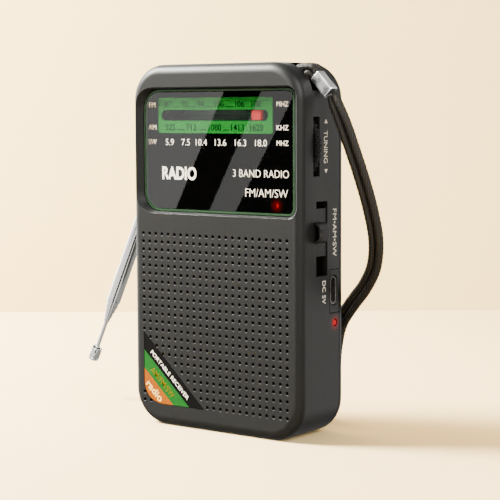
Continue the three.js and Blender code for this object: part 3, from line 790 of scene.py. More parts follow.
class AntennaSettings(bpy.types.PropertyGroup):
    """Finish of the telescopic antenna."""

    plating: colour_property("Plating", "Colour of the plated tubes", (0.86, 0.85, 0.83, 1))
    roughness: bpy.props.FloatProperty(
        name="Polish", description="Roughness of the plating", default=0.14, min=0.0, max=1.0,
        subtype="FACTOR")


class StageSettings(bpy.types.PropertyGroup):
    """The floor, the backdrop and the light."""

    floor: colour_property("Floor", "Colour of the floor", rgb(202, 175, 122))
    backdrop: colour_property("Backdrop", "Colour of the backdrop", rgb(229, 206, 146))
    key_power: power_property("Key light", "Power of the large light on the left", 150.0)
    fill_power: power_property("Fill light", "Power of the light on the right", 12.0)
    wash_power: power_property("Wall wash", "Power of the light that grazes the backdrop", 20.0)
    ambient: bpy.props.FloatProperty(
        name="Ambient", description="Strength of the light from all round", default=0.4, min=0.0)


def chosen(group, name):
    """A colour from the settings as a shader takes it."""
    return (*getattr(getattr(bpy.context.scene, group), name), 1.0)


# ------------------------------------------------------------------------------------ lettering


# The height of a capital in the built-in typeface at size 1, and how thick an ink is.
CAPITAL = 0.729
INK = 0.03


def letters(text, cap, width, bold):
    """A word as (points, faces) in its own plane, centred on its capitals."""
    curve = bpy.data.curves.new("word", "FONT")
    curve.body = text
    curve.offset = bold
    curve.extrude = 0.5
    curve.resolution_u = 4
    thing = placed("word", curve)
    mesh = bpy.data.meshes.new_from_object(thing.evaluated_get(bpy.context.evaluated_depsgraph_get()))
    across = [v.co.x for v in mesh.vertices]
    low, high = min(across), max(across)
    tall = cap / CAPITAL
    wide = width / (high - low) if width else tall
    points = [((v.co.x - (low + high) / 2) * wide, v.co.y * tall - cap / 2, v.co.z) for v in mesh.vertices]
    faces = [tuple(face.vertices) for face in mesh.polygons]
    bpy.data.objects.remove(thing)
    bpy.data.curves.remove(curve)
    bpy.data.meshes.remove(mesh)
    return points, faces


def printed(words, place):
    """Words as one thin solid. Each is (text, across, up, cap, width, bold); place maps them into space."""
    solids = []
    for text, across, up, cap, width, bold in words:
        points, faces = letters(text, cap, width, bold)
        solids.append(([place(u + across, v + up, w) for u, v, w in points], faces))
    return merged(*solids)


def on_front(u, v, w):
    """On the printed face behind the lens."""
    return u, at_depth(PRINT_DEPTH) - INK * (w + 0.5), v


def on_side(u, v, w):
    """On the right side, reading downwards; across is a place along -Z and up is a depth."""
    return SIDE_X + INK * w, at_depth(v), -u


def flat_shape(outline, place):
    return lofted([[place(u, v, w) for u, v in outline] for w in (-0.5, 0.5)])


# ------------------------------------------------------------------------------------ case


def case_section(inset):
    return rounded(
        -SIDE_X + inset, SIDE_X - inset, inset, CASE_HEIGHT - inset, [max(CASE_CORNER - inset, 0.3)] * 4, 20)


def case_solid(start, end):
    """The rounded outside of the case between two depths."""
    steps = 10
    marks = []
    for i in range(steps + 1):
        angle = QUARTER * i / steps
        marks.append((CASE_EDGE * (1 - math.sin(angle)), CASE_EDGE * (1 - math.cos(angle))))
    sections = []
    for inset, depth in marks:
        if start <= depth <= end:
            sections.append((case_section(inset), depth))
    if start > CASE_EDGE:
        sections.append((case_section(0), start))
    if end < CASE_DEPTH - CASE_EDGE:
        sections.append((case_section(0), end))
    for inset, depth in reversed(marks):
        if start <= CASE_DEPTH - depth <= end:
            sections.append((case_section(inset), CASE_DEPTH - depth))
    return front_loft(sections)


def lens_outline(grow, steps=14):
    left = max(LENS_CORNERS[0] + grow, 0.5)
    right = max(LENS_CORNERS[1] + grow, 0.5)
    edge = LENS_HALF + grow
    return rounded(-edge, edge, LENS_BOTTOM - grow, LENS_TOP + grow, [left, right, right, left], steps)


LENS_HALF = 31.0
LENS_BOTTOM = 72.4
LENS_TOP = 112.6
LENS_CORNERS = (6.6, 2.4)
LENS_FRONT = 2.5
LENS_BACK = 3.7
MOUTH_HALF, MOUTH_BOTTOM, MOUTH_TOP = 34.3, 71.5, 113.5
MOUTH_CORNERS = (9, 4.5, 4.5, 9)
TRIM_WIDTH = 0.5
GAP = 0.3


def between(first, second, share):
    """An outline part of the way from one to another."""
    return [(a[0] + (b[0] - a[0]) * share, a[1] + (b[1] - a[1]) * share) for a, b in zip(first, second)]


def window_mouth():
    """The flared recess round the window, with a soft lip where it meets the front."""
    near = rounded(-MOUTH_HALF, MOUTH_HALF, MOUTH_BOTTOM, MOUTH_TOP, MOUTH_CORNERS, 14)
    far = lens_outline(GAP)
    steps = [(-0.5, -0.05), (0, 0.02), (0.1, 0.1), (0.3, 0.2), (0.6, 0.34), (2.3, 0.93), (LENS_FRONT, 1.0)]
    return front_loft([(between(near, far, share), depth) for depth, share in steps])


def label_outline(grow):
    """The label's triangle, with the case's own curve at its corner."""
    left = LABEL_LEFT - grow
    bottom = LABEL_BOTTOM - grow
    points = [(LABEL_RIGHT + 3 * grow, bottom), (left, LABEL_TOP + 3 * grow), (left, bottom + 7)]
    for i in range(1, 13):
        t = i / 12
        a, b, c = (1 - t) ** 2, 2 * t * (1 - t), t ** 2
        x = a * left + b * (left + 0.5) + c * (left + 8)
        z = a * (bottom + 7) + b * (bottom + 0.4) + c * bottom
        points.append((x, z))
    return points


LABEL_LEFT, LABEL_RIGHT = -29.8, -4.4
LABEL_BOTTOM, LABEL_TOP = 7.2, 31.0
LABEL_SLOPE = 1.084
LABEL_ORANGE = 12.6
LABEL_GREEN = 19.4


def inside_outline(x, z, outline):
    inside = False
    for (x0, z0), (x1, z1) in zip(outline, outline[1:] + outline[:1]):
        if (z0 > z) != (z1 > z) and x < (x1 - x0) * (z - z0) / (z1 - z0) + x0:
            inside = not inside
    return inside


GRILLE_COLUMNS = 23
GRILLE_ROWS = 22
GRILLE_LOWEST = 7.965


def grille_holes(pitch, diameter):
    """Every sound hole with its eased rim, as one tool."""
    covered = label_outline(0.35)
    radius = diameter / 2
    profile = [
        (0, -0.5), (radius + 0.3, -0.5), (radius + 0.22, 0.0), (radius + 0.1, 0.06), (radius + 0.03, 0.16),
        (radius, 0.32), (radius, WALL + 0.5), (0, WALL + 0.5),
    ]
    solids = []
    for column in range(GRILLE_COLUMNS):
        for row in range(GRILLE_ROWS):
            x = (column - (GRILLE_COLUMNS - 1) / 2) * pitch
            z = GRILLE_LOWEST + row * pitch
            if not inside_outline(x, z, covered):
                solids.append(front_turned(x, z, profile, 14))
    return merged(*solids)


def corner_point(along, across):
    """A point along and across the top right corner's diagonal."""
    half = math.sqrt(0.5)
    return (
        SIDE_X - CASE_CORNER + (along + across) * half,
        CASE_HEIGHT - CASE_CORNER + (along - across) * half,
    )


def corner_box(along, across, depths, radius=0.01):
    """A box square to the corner's diagonal, its corners rounded by the radius."""
    outline = rounded(*along, *across, [radius] * 4, 6)
    return front_loft([([corner_point(u, v) for u, v in outline], depth) for depth in depths])


STRAP_PLANE = -1.5
STRAP_DEPTH = STRAP_PLANE - FRONT_Y
BAR_X, BAR_Z, BAR_RADIUS = 28.5, 117.0, 1.0
POCKET_ACROSS = (-7.5, 6.2)
POCKET_FLOOR = 5.5
POCKET_DEPTHS = (STRAP_DEPTH - 3.9, STRAP_DEPTH + 3.9)
CHANNEL_EDGE = -26.3
CHANNEL_DEPTH = 19.8
CHANNEL_WALL = 1.5
CASE_SCREWS = ((-22.5, 9.5), (24, 9.5), (-19, 113.5), (10, 113.5))
PIVOT_X, PIVOT_Z, PIVOT_DEPTH = -30.0, 110.0, 22.95
TUNING_X, TUNING_Z = 21.1, 94.3
VOLUME_X, VOLUME_Z = -27.15, 80.0
LAMP_X, LAMP_Z, LAMP_RADIUS = 22.9, 75.4, 1.5
SLOT_LEFT, SLOT_RIGHT, SLOT_BOTTOM, SLOT_TOP = -24.7, 19.7, 102.4, 106.0
CHARGE_DEPTH, CHARGE_Z = 19.9, 37.1
JACK_DEPTH, JACK_Z = 13.4, 69.5
PORT_DEPTH, PORT_Z, PORT_WIDTH, PORT_HEIGHT, PORT_BACK = 19.35, 47.7, 8.94, 3.26, 26.8
# What stands on the front of the circuit board ends at this depth, just short of it.
BOARD_GAP = 16.1
COVER_HALF, COVER_BOTTOM, COVER_TOP = 18.8, 6.5, 63.5
POCKET_WALL = 1.5
LEDGE_DEPTHS = (LENS_BACK, LEDGE_BACK + 1)
SCREW_POST, SCREW_HOLE = 2.6, 1.15
# Openings in the sides, as pairs of depths and pairs of heights.
WHEEL_DEPTHS = (7.6, 11.1)
TUNING_OPENING = (WHEEL_DEPTHS, (84.8, 103.7))
VOLUME_OPENING = (WHEEL_DEPTHS, (VOLUME_Z - 8.3, VOLUME_Z + 8.3))
SWITCH_OPENING = ((9.2, 15.5), (52.8, 76.8))
PORT_OPENING = ((16.7, PARTING), (40.2, 54.6))
THUMB_DISH = ((6.7, 7.9), (TUNING_Z - 8, TUNING_Z + 8))
RIGHT_WALL = (SIDE_X - 3, SIDE_X + 1)
LEFT_WALL = (-SIDE_X - 1, -SIDE_X + 3)


def pin(x, z, radius, start, end, steps=32):
    return front_turned(x, z, [(0, start), (radius, start), (radius, end), (0, end)], steps)


def side_pin(depth, z, radius, start, end, steps=32):
    return side_turned(at_depth(depth), z, [(0, start), (radius, start), (radius, end), (0, end)], steps)


def inner_plate(inset, start, end):
    outline = rounded(
        -SIDE_X + inset, SIDE_X - inset, inset, CASE_HEIGHT - inset, [CASE_CORNER - inset] * 4, 12)
    return front_loft([(outline, start), (outline, end)])


def front_shell_mesh(settings):
    """The front half of the case: window recess, ledge, grille, strap pocket, slots and screw posts."""
    seam = PARTING - 0.15
    shell = Carving(case_solid(0, seam))
    shell.cut(inner_plate(WALL, LEDGE_BACK, CASE_DEPTH))
    space = Carving(inner_plate(WALL, WALL, LEDGE_BACK + 1))
    space.keep(box_solid((-SIDE_X, SIDE_X), (0, CASE_DEPTH), (-1, GRILLE_TOP)))
    shell.change(space.solid(), "DIFFERENCE")
    outside = case_solid(0, seam)
    thick = Carving(corner_box(
        (POCKET_FLOOR - POCKET_WALL, 2 * CASE_CORNER),
        (POCKET_ACROSS[0] - POCKET_WALL, POCKET_ACROSS[1] + POCKET_WALL),
        (POCKET_DEPTHS[0] - POCKET_WALL, POCKET_DEPTHS[1] + POCKET_WALL)))
    channel = Carving(box_solid(
        (-SIDE_X - 1, CHANNEL_EDGE + CHANNEL_WALL), (CHANNEL_DEPTH - CHANNEL_WALL, seam),
        (WALL / 2, CASE_HEIGHT - WALL / 2)))
    shell.join(thick.keep(outside).solid(), channel.keep(outside).solid())
    for x, z in CASE_SCREWS:
        start = LEDGE_BACK - 0.5 if z > GRILLE_TOP else WALL - 0.5
        shell.join(pin(x, z, SCREW_POST, start, seam))
    shell.cut(
        corner_box((POCKET_FLOOR, 2 * CASE_CORNER), POCKET_ACROSS, POCKET_DEPTHS, 0.8),
        pin(BAR_X, BAR_Z, BAR_RADIUS + 0.15, POCKET_DEPTHS[0] - 1.2, POCKET_DEPTHS[1] + 1.2),
        window_mouth(),
        front_loft([(lens_outline(GAP), LENS_FRONT - 0.1), (lens_outline(GAP), LENS_BACK + 1)]),
        box_solid((SLOT_LEFT - 0.8, SLOT_RIGHT + 0.3), LEDGE_DEPTHS, (SLOT_BOTTOM - 0.2, SLOT_TOP + 0.2)),
        pin(LAMP_X, LAMP_Z, LAMP_RADIUS + GAP, *LEDGE_DEPTHS),
        pin(-27, 102.8, 1.15, 5.0, 6.7),
        front_loft([(label_outline(0.15), -1), (label_outline(0.15), 0.5)]),
        box_solid(RIGHT_WALL, *TUNING_OPENING),
        box_solid((SIDE_X - 3, SIDE_X - 0.45), *THUMB_DISH),
        box_solid(LEFT_WALL, *VOLUME_OPENING),
        box_solid(RIGHT_WALL, *SWITCH_OPENING),
        box_solid(RIGHT_WALL, *PORT_OPENING),
        side_pin(CHARGE_DEPTH, CHARGE_Z, 1.3, *RIGHT_WALL),
        side_pin(JACK_DEPTH, JACK_Z, 2.9, *LEFT_WALL),
        box_solid((-SIDE_X - 1, CHANNEL_EDGE), (CHANNEL_DEPTH, CASE_DEPTH), (-1, CASE_HEIGHT + 1)),
        pin(PIVOT_X, PIVOT_Z, 1.65, CHANNEL_DEPTH - 3, CASE_DEPTH),
        *[pin(x, z, SCREW_HOLE, 13.5, PARTING + 1) for x, z in CASE_SCREWS],
        grille_holes(settings.pitch / MM, settings.hole / MM),
    )
    return shell.mesh()


def rear_shell_mesh():
    """The rear half: battery tray, cover opening with a ribbed edge, antenna channel and screw wells."""
    seam = PARTING + 0.15
    inner_face = CASE_DEPTH - WALL
    shell = Carving(case_solid(seam, CASE_DEPTH))
    shell.cut(inner_plate(WALL, PARTING - 1, inner_face))
    channel = Carving(box_solid(
        (CHANNEL_EDGE - 1, CHANNEL_EDGE + CHANNEL_WALL), (seam, inner_face + 0.5),
        (WALL / 2, CASE_HEIGHT - WALL / 2)))
    shell.join(
        channel.keep(case_solid(seam, CASE_DEPTH)).solid(),
        box_solid((-COVER_HALF - 1.1, COVER_HALF + 1.1), (16.5, inner_face + 0.5),
                  (COVER_BOTTOM - 1.3, COVER_TOP + 1.3)),
        *[pin(x, z, 2.4, seam, inner_face + 0.5) for x, z in CASE_SCREWS],
    )
    shell.cut(
        box_solid((-17.6, 17.6), (17.3, CASE_DEPTH + 1), (7.7, 62.3)),
        box_solid((-COVER_HALF - GAP, COVER_HALF + GAP), (inner_face - GAP, CASE_DEPTH + 1),
                  (COVER_BOTTOM - GAP, COVER_TOP + GAP)),
        box_solid((-SIDE_X - 1, CHANNEL_EDGE), (CHANNEL_DEPTH, CASE_DEPTH + 1), (-1, CASE_HEIGHT + 1)),
        *[box_solid((x - 1.8, x + 1.8), (18.7, 19.9), (62, 66)) for x in (-5, 5)],
    )
    for x, z in CASE_SCREWS:
        shell.cut(
            pin(x, z, SCREW_HOLE + 0.1, PARTING - 1, CASE_DEPTH + 1),
            front_turned(x, z, [(0, 24.7), (2.15, 24.7), (2.15, 25.7), (2.5, 26.1), (2.5, 27), (0, 27)], 40),
        )
    return shell.mesh()


def battery_cover_mesh():
    """A flat lid with a row of grip ribs and a thumb notch at its top."""
    edge = 0.35
    outline = rounded(-COVER_HALF, COVER_HALF, COVER_BOTTOM, COVER_TOP, [1.4] * 4, 8)
    inner = rounded(
        -COVER_HALF + edge, COVER_HALF - edge, COVER_BOTTOM + edge, COVER_TOP - edge, [1.05] * 4, 8)
    cover = Carving(front_loft([
        (outline, CASE_DEPTH - WALL), (outline, CASE_DEPTH - edge),
        (between(outline, inner, 0.3), CASE_DEPTH - 0.12), (inner, CASE_DEPTH)]))
    for i in range(6):
        z = COVER_TOP - 6.0 - 1.5 * i
        cover.cut(box_solid((-8, 8), (CASE_DEPTH - 0.5, CASE_DEPTH + 1), (z - 0.35, z + 0.35)))
    arrow = [(-2.2, 46.0), (0, 43.2), (2.2, 46.0)]
    cover.cut(front_loft([(arrow, CASE_DEPTH - 0.35), (arrow, CASE_DEPTH + 1)]))
    return cover.mesh()


def screw_head(x, z):
    """A pan-head screw with a cross recess, sunk in its well."""
    seat, crown = 25, 25.9
    head = Carving(front_turned(x, z, [
        (0, 14), (1, 14), (1, seat), (1.9, seat), (1.9, crown - 0.35), (1.72, crown - 0.12), (1.4, crown),
        (0, crown)], 40))
    for wide, tall in ((0.24, 1.05), (1.05, 0.24)):
        head.cut(box_solid((x - wide, x + wide), (crown - 0.6, crown + 0.1), (z - tall, z + tall)))
    return head.mesh()


class RECEIVER_OT_case(bpy.types.Operator):
    """Makes the two case halves, the battery cover and the case screws"""

    bl_idname = "receiver.make_case"
    bl_label = "Case"
    bl_options = {"REGISTER", "UNDO"}

    def execute(self, context):
        settings = context.scene.receiver_case
        for name, mesh, body, node in (
                ("case_front", front_shell_mesh(settings), "housing", "front_shell"),
                ("case_rear", rear_shell_mesh(), "housing", "rear_shell"),
                ("battery_lid", battery_cover_mesh(), "battery_door", "battery_cover")):
            piece(name, mesh, body, "case_plastic", [node], even=True)
        for i, (x, z) in enumerate(CASE_SCREWS):
            name = f"case_screw_{i + 1}"
            piece(f"{name}_head", screw_head(x, z), "housing", "dark_steel", [name])
        return {"FINISHED"}


# ------------------------------------------------------------------------------------ window

PRINT_DEPTH = 4.0
PRINT_SHIFT = -1.1
DIAL_PANEL = (-25.9, 21.4, 98.3, 110.0)
POINTER_X = 14.3

BAND_NUMBERS = (
    (107.9, ((87, -20.6), (90, -13.5), (94, -6.8), (100, 1.0), (106, 9.4), (108, 16.0))),
    (100.3, ((522, -19.7), (712, -10.7), (1080, -0.8), (1413, 8.5), (1620, 16.2))),
)
SHORT_WAVE = ((5.9, -20.0), (7.5, -13.1), (10.4, -6.5), (13.6, 1.5), (16.3, 9.7), (18.0, 17.9))
HALF_DIGIT, SHORTEST_DASH = 0.85, 0.4
BAND_ROWS = (("FM", "MHZ", 107.8), ("AM", "KHZ", 100.3), ("SW", "MHZ", 95.4))


def dial_words():
    """Dark numbers for the green panel, and white words for the black."""
    dark = [(str(value), across, up, 2.15, None, 0.008) for up, row in BAND_NUMBERS for value, across in row]
    white = [(f"{value:.1f}", across, BAND_ROWS[2][2], 2.3, None, -0.006) for value, across in SHORT_WAVE]
    for band, unit, up in BAND_ROWS:
        white.append((band, -27.5, up, 1.8, None, 0.0))
        white.append((unit, 26.4, up, 1.7, 4.6, 0.0))
    white.append(("RADIO", -16.0, 85.1, 4.2, 14.7, 0.035))
    white.append(("3 BAND RADIO", 17.7, 85.6, 2.6, 22.3, -0.01))
    white.append(("FM/AM/SW", 20.0, 79.4, 2.8, 16.9, -0.01))
    return [[(word, across + PRINT_SHIFT, *rest) for word, across, *rest in words] for words in (dark, white)]


def dial_ticks():
    """Short dashes between the numbers of the two upper bands."""
    spans = []
    for up, row in BAND_NUMBERS:
        for (first, left), (second, right) in zip(row, row[1:]):
            start = left + HALF_DIGIT * len(str(first)) + PRINT_SHIFT + 0.1
            end = right - HALF_DIGIT * len(str(second)) + PRINT_SHIFT - 0.1
            if end - start > SHORTEST_DASH:
                spans.append((start, end, up - 1.0))
    return merged(*[
        flat_shape(rounded(start, end, low, low + 0.22, [0.1] * 4, 2), on_front)
        for start, end, low in spans])


def lens_solid():
    edge = -TRIM_WIDTH - 0.15
    return front_loft([
        (lens_outline(edge - 0.12), LENS_FRONT), (lens_outline(edge - 0.04), LENS_FRONT + 0.04),
        (lens_outline(edge), LENS_FRONT + 0.12), (lens_outline(edge), LENS_BACK)])


def ring_solid(outer, inner, depths):
    """A flat ring between two outlines that have as many points."""
    count = len(outer)
    points = []
    for outline, depth in ((outer, depths[0]), (outer, depths[1]), (inner, depths[1]), (inner, depths[0])):
        points.extend((x, at_depth(depth), z) for x, z in outline)
    faces = []
    for ring in range(4):
        after = (ring + 1) % 4
        for i in range(count):
            j = (i + 1) % count
            faces.append((ring * count + i, ring * count + j, after * count + j, after * count + i))
    return points, faces


def pointer_solid():
    """The pointer's rounded flag."""
    z, wide, tall = 104.2, 1.95, 1.65
    return front_loft([
        (centred(POINTER_X, z, wide - inset, tall - inset, 0.5, 5), depth)
        for inset, depth in ((0.3, 4.8), (0.08, 4.88), (0, 5.05), (0, 6.3))])


def carriage_mesh():
    """The carriage behind the flag, with two fingers that ride the rail."""
    width = (POINTER_X - 2.6, POINTER_X + 2.6)
    carriage = Carving(box_solid(width, (6.0, 6.6), (101.9, 110.4)))
    carriage.join(box_solid(width, (6.0, 7.5), (107.5, 108.2)), box_solid(width, (6.0, 7.5), (109.8, 110.4)))
    return carriage.cut(pin(POINTER_X, 105.9, 0.6, 5.5, 7)).mesh()


class RECEIVER_OT_window(bpy.types.Operator):
    """Makes the lens, its trim, the printed scale and the dial pointer"""

    bl_idname = "receiver.make_window"
    bl_label = "Dial window"
    bl_options = {"REGISTER", "UNDO"}

    def execute(self, context):
        piece("dial_lens", lens_solid(), "housing", "clear_lens", ["window_lens"], 15)
        trim = ring_solid(lens_outline(0), lens_outline(-TRIM_WIDTH), (LENS_FRONT, LENS_BACK))
        piece("window_line", trim, "housing", "trim_green", ["window_trim"])
        dark, white = dial_words()
        piece("dial_numbers", printed(dark, on_front), "housing", "dark_ink", smooth=0)
        piece("dial_dashes", dial_ticks(), "housing", "dark_ink", smooth=0)
        piece("dial_words", printed(white, on_front), "housing", "white_ink", smooth=0)
        piece("pointer_flag", pointer_solid(), "pointer", "red_paint", ["dial_pointer"], even=True)
        piece("pointer_carriage", carriage_mesh(), "pointer", "black_plastic")
        return {"FINISHED"}


# ------------------------------------------------------------------------------------ corner label


LABEL_INK = 0.02


def along_label(run):
    """A place on the label: u along the bands, v across them from a run, w off the film."""
    length = math.hypot(1, LABEL_SLOPE)
    along = (LABEL_SLOPE / length, -1 / length)
    outward = (1 / length, LABEL_SLOPE / length)
    middle = (LABEL_LEFT + run / 2, LABEL_BOTTOM + run / (2 * LABEL_SLOPE))

    def place(u, v, w):
        x = middle[0] + u * along[0] + v * outward[0]
        z = middle[1] + u * along[1] + v * outward[1]
        return x, at_depth(LABEL_INK / 2) - LABEL_INK * w, z

    return place


class RECEIVER_OT_label(bpy.types.Operator):
    """Makes the three-coloured corner label and its words"""

    bl_idname = "receiver.make_label"
    bl_label = "Corner label"
    bl_options = {"REGISTER", "UNDO"}

    def execute(self, context):
        film = front_loft([(label_outline(-0.04), 0.03), (label_outline(0), 0.07), (label_outline(0), 0.2)])
        piece("label_film", film, "housing", "label_film", ["corner_label"], smooth=0)
        words = (
            ("label_words_outer", "PORTABLE RECEIVER", 22.2, 1.45, 21.5, 0.0, "white_ink"),
            ("label_words_middle", "AM/FM/SW", 16.0, 2.2, 13.0, 0.01, "olive_ink"),
            ("label_words_corner", "radio", 9.0, 2.6, 8.4, 0.02, "cream_ink"),
        )
        for name, text, run, cap, width, bold, ink in words:
            solid = printed([(text, 0, 0, cap, width, bold)], along_label(run))
            piece(name, solid, "housing", ink, smooth=0)
        return {"FINISHED"}


# ------------------------------------------------------------------------------------ controls


def knurled(x, z, radius, teeth, inset=0.0):
    """The outline of a thumbwheel: flat-topped teeth with narrow grooves."""
    profile = ((0.0, 0.0), (0.42, 0.0), (0.54, 0.28), (0.62, 0.45), (0.8, 0.45), (0.88, 0.28))
    points = []
    for tooth in range(teeth):
        for share, groove in profile:
            angle = 4 * QUARTER * (tooth + share) / teeth
            reach = radius - groove - inset
            points.append((x + reach * math.cos(angle), z + reach * math.sin(angle)))
    return points


def thumbwheel(x, z, radius, drum, teeth):
    """A knurled wheel with a drum behind it, a bore and a sunk middle."""
    rims = ((8.0, 0.5), (8.12, 0.18), (8.35, 0.0), (10.05, 0.0), (10.28, 0.18), (10.4, 0.5))
    wheel = Carving(front_loft([(knurled(x, z, radius, teeth, inset), depth) for depth, inset in rims]))
    wheel.join(pin(x, z, drum, 7.0, 8.5, 72))
    for radius, start, end in ((2.4, 6, 8.1), (1.1, 7, 11.4), (3.2, 8.9, 11.4)):
        wheel.cut(pin(x, z, radius, start, end))
    return wheel.mesh()


KNOB_Z, KNOB_HALF, KNOB_REACH = 66.9, 3.35, 2.6
KNOB_DEPTHS = (7.9, 13.1)


def knob_outline(shrink, dip=0.34):
    """The switch cap's profile: a half ellipse with a shallow waist between two finger lobes."""
    points = []
    steps = 28
    for i in range(steps + 1):
        angle = -QUARTER + 2 * QUARTER * i / steps
        up = (KNOB_HALF - shrink) * math.sin(angle)
        out = (KNOB_REACH - shrink) * math.cos(angle) ** 0.8
        waist = dip * math.exp(-((up / 0.85) ** 2))
        points.append((SIDE_X + 0.3 + max(out - waist, 0), KNOB_Z + up))
    return points


def switch_knob():
    """The switch cap with its neck, its sliding plate and the fork inside."""
    start, end = KNOB_DEPTHS
    rounds = ((start, 0.35), (start + 0.1, 0.14), (start + 0.3, 0.02), (start + 0.5, 0), (end - 0.5, 0),
              (end - 0.3, 0.03), (end - 0.1, 0.15), (end, 0.4))
    knob = Carving(front_loft([(knob_outline(shrink), depth) for depth, shrink in rounds]))
    knob.cut(front_loft([(knob_outline(0.75, 0.3), start - 0.5), (knob_outline(0.85, 0.3), start + 2.0)]))
    knob.join(
        box_solid((SIDE_X - 1, SIDE_X + 0.8), (10.6, 12.9), (KNOB_Z - 2.6, KNOB_Z + 2.6)),
        box_solid((SIDE_X - 1.45, SIDE_X - 0.35), (9.5, 15.2), (59.2, 74.5)),
        box_solid((SIDE_X - 4.5, SIDE_X - 1), (11.3, 13.1), (KNOB_Z - 1, KNOB_Z + 1)),
    )
    return knob.mesh()


def lamp_profile(radius, start, length):
    """A lamp's domed end and round body."""
    points = [(0, start)]
    for i in range(1, 9):
        angle = i * QUARTER / 8
        points.append((radius * math.sin(angle), start + radius * (1 - math.cos(angle))))
    return points + [(radius, start + length), (0, start + length)]


class RECEIVER_OT_controls(bpy.types.Operator):
    """Makes the thumbwheels, the band switch and the two lamps"""

    bl_idname = "receiver.make_controls"
    bl_label = "Controls"
    bl_options = {"REGISTER", "UNDO"}

    def execute(self, context):
        for name, wheel in (
                ("tuning", thumbwheel(TUNING_X, TUNING_Z, 15, 11.9, 56)),
                ("volume", thumbwheel(VOLUME_X, VOLUME_Z, 9, 4, 36))):
            piece(f"{name}_thumbwheel", wheel, f"{name}_set", "wheel_black", [f"{name}_wheel"],
                  28, even=True)
        piece("band_switch_cap", switch_knob(), "band_switch", "black_plastic",
              ["band_switch_knob"], even=True)
        # A near-black sheet in the bottom of the switch opening: painted shade where the slot is dark.
        shield = box_solid((31.9, 32.3), (8.9, BOARD_GAP), (51.6, 55.8))
        piece("switch_dust_shield", shield, "housing", "felt", smooth=0)
        lamp = front_turned(LAMP_X, LAMP_Z, lamp_profile(LAMP_RADIUS, 4.75, 3.6), 32)
        legs = [
            box_solid((x - 0.2, x + 0.2), (8, BOARD_GAP), (LAMP_Z - 0.2, LAMP_Z + 0.2))
            for x in (LAMP_X - 0.7, LAMP_X + 0.7)]
        piece("tuning_lamp", lamp, "housing", "lamp_red", ["tuning_led"])
        piece("tuning_lamp_legs", merged(*legs), "housing", "steel")
        charge = side_turned(at_depth(CHARGE_DEPTH), CHARGE_Z, [
            (0, 29), (1.0, 29), (1.0, SIDE_X - 0.45), (0.85, SIDE_X - 0.2), (0.5, SIDE_X - 0.1),
            (0, SIDE_X - 0.08)])
        piece("charge_lamp", charge, "housing", "lamp_red", ["charge_led"])
        block = box_solid((28, 29.5), (17.7, 21), (CHARGE_Z - 1.2, CHARGE_Z + 1.2))
        piece("charge_lamp_base", block, "housing", "nylon", smooth=0)
        return {"FINISHED"}


# ------------------------------------------------------------------------------------ side


def stadium(width, height):
    """The charging port's outline in the side view, as (y, z) points."""
    return centred(at_depth(PORT_DEPTH), PORT_Z, height / 2, width / 2, height / 2 - 0.01, 12)


def port_loft(sections):
    """A solid through the port's outline, made larger by an amount at each x place."""
    return side_loft([(stadium(PORT_WIDTH + grow, PORT_HEIGHT + grow), x) for grow, x in sections])


def port_socket():
    """The port's steel shell, its mouth eased inside and out."""
    front = SIDE_X - 0.35
    socket = Carving(port_loft(((0, PORT_BACK), (0, front - 0.12), (-0.1, front))))
    return socket.cut(port_loft(((-0.6, PORT_BACK + 0.7), (-0.6, front - 0.15), (-0.4, front + 0.1)))).mesh()


def port_tongue():
    """The tongue that holds the contacts, with an eased end."""
    front = SIDE_X - 1.25
    return side_loft([
        (centred(at_depth(PORT_DEPTH), PORT_Z, 0.35 - inset, 3.35 - inset, 0.15, 4), x)
        for inset, x in ((0, PORT_BACK + 0.5), (0, front - 0.2), (0.12, front))])


def port_contacts():
    """A row of contacts on each face of the port's tongue."""
    count, pitch = 12, 0.5
    solids = []
    for depth in (PORT_DEPTH - 0.36, PORT_DEPTH + 0.36):
        for i in range(count):
            z = PORT_Z + (i - (count - 1) / 2) * pitch
            solids.append(box_solid((29, SIDE_X - 1.6), (depth - 0.03, depth + 0.03), (z - 0.12, z + 0.12)))
    return merged(*solids)


def port_panel():
    """The inset panel round the charging port, with a flared hole."""
    edge = 0.18

    def outline(inset):
        return rounded(
            at_depth(16.9) + inset, at_depth(22.25) - inset, 40.4 + inset, 54.4 - inset, [0.5] * 4, 5)

    panel = Carving(side_loft([
        (outline(0), SIDE_X - WALL + 0.1), (outline(0), SIDE_X - edge),
        (outline(edge * 0.3), SIDE_X - edge * 0.3), (outline(edge), SIDE_X)]))
    return panel.cut(port_loft(((0.5, SIDE_X - 3), (0.5, SIDE_X - 0.4), (1.2, SIDE_X + 0.1)))).mesh()


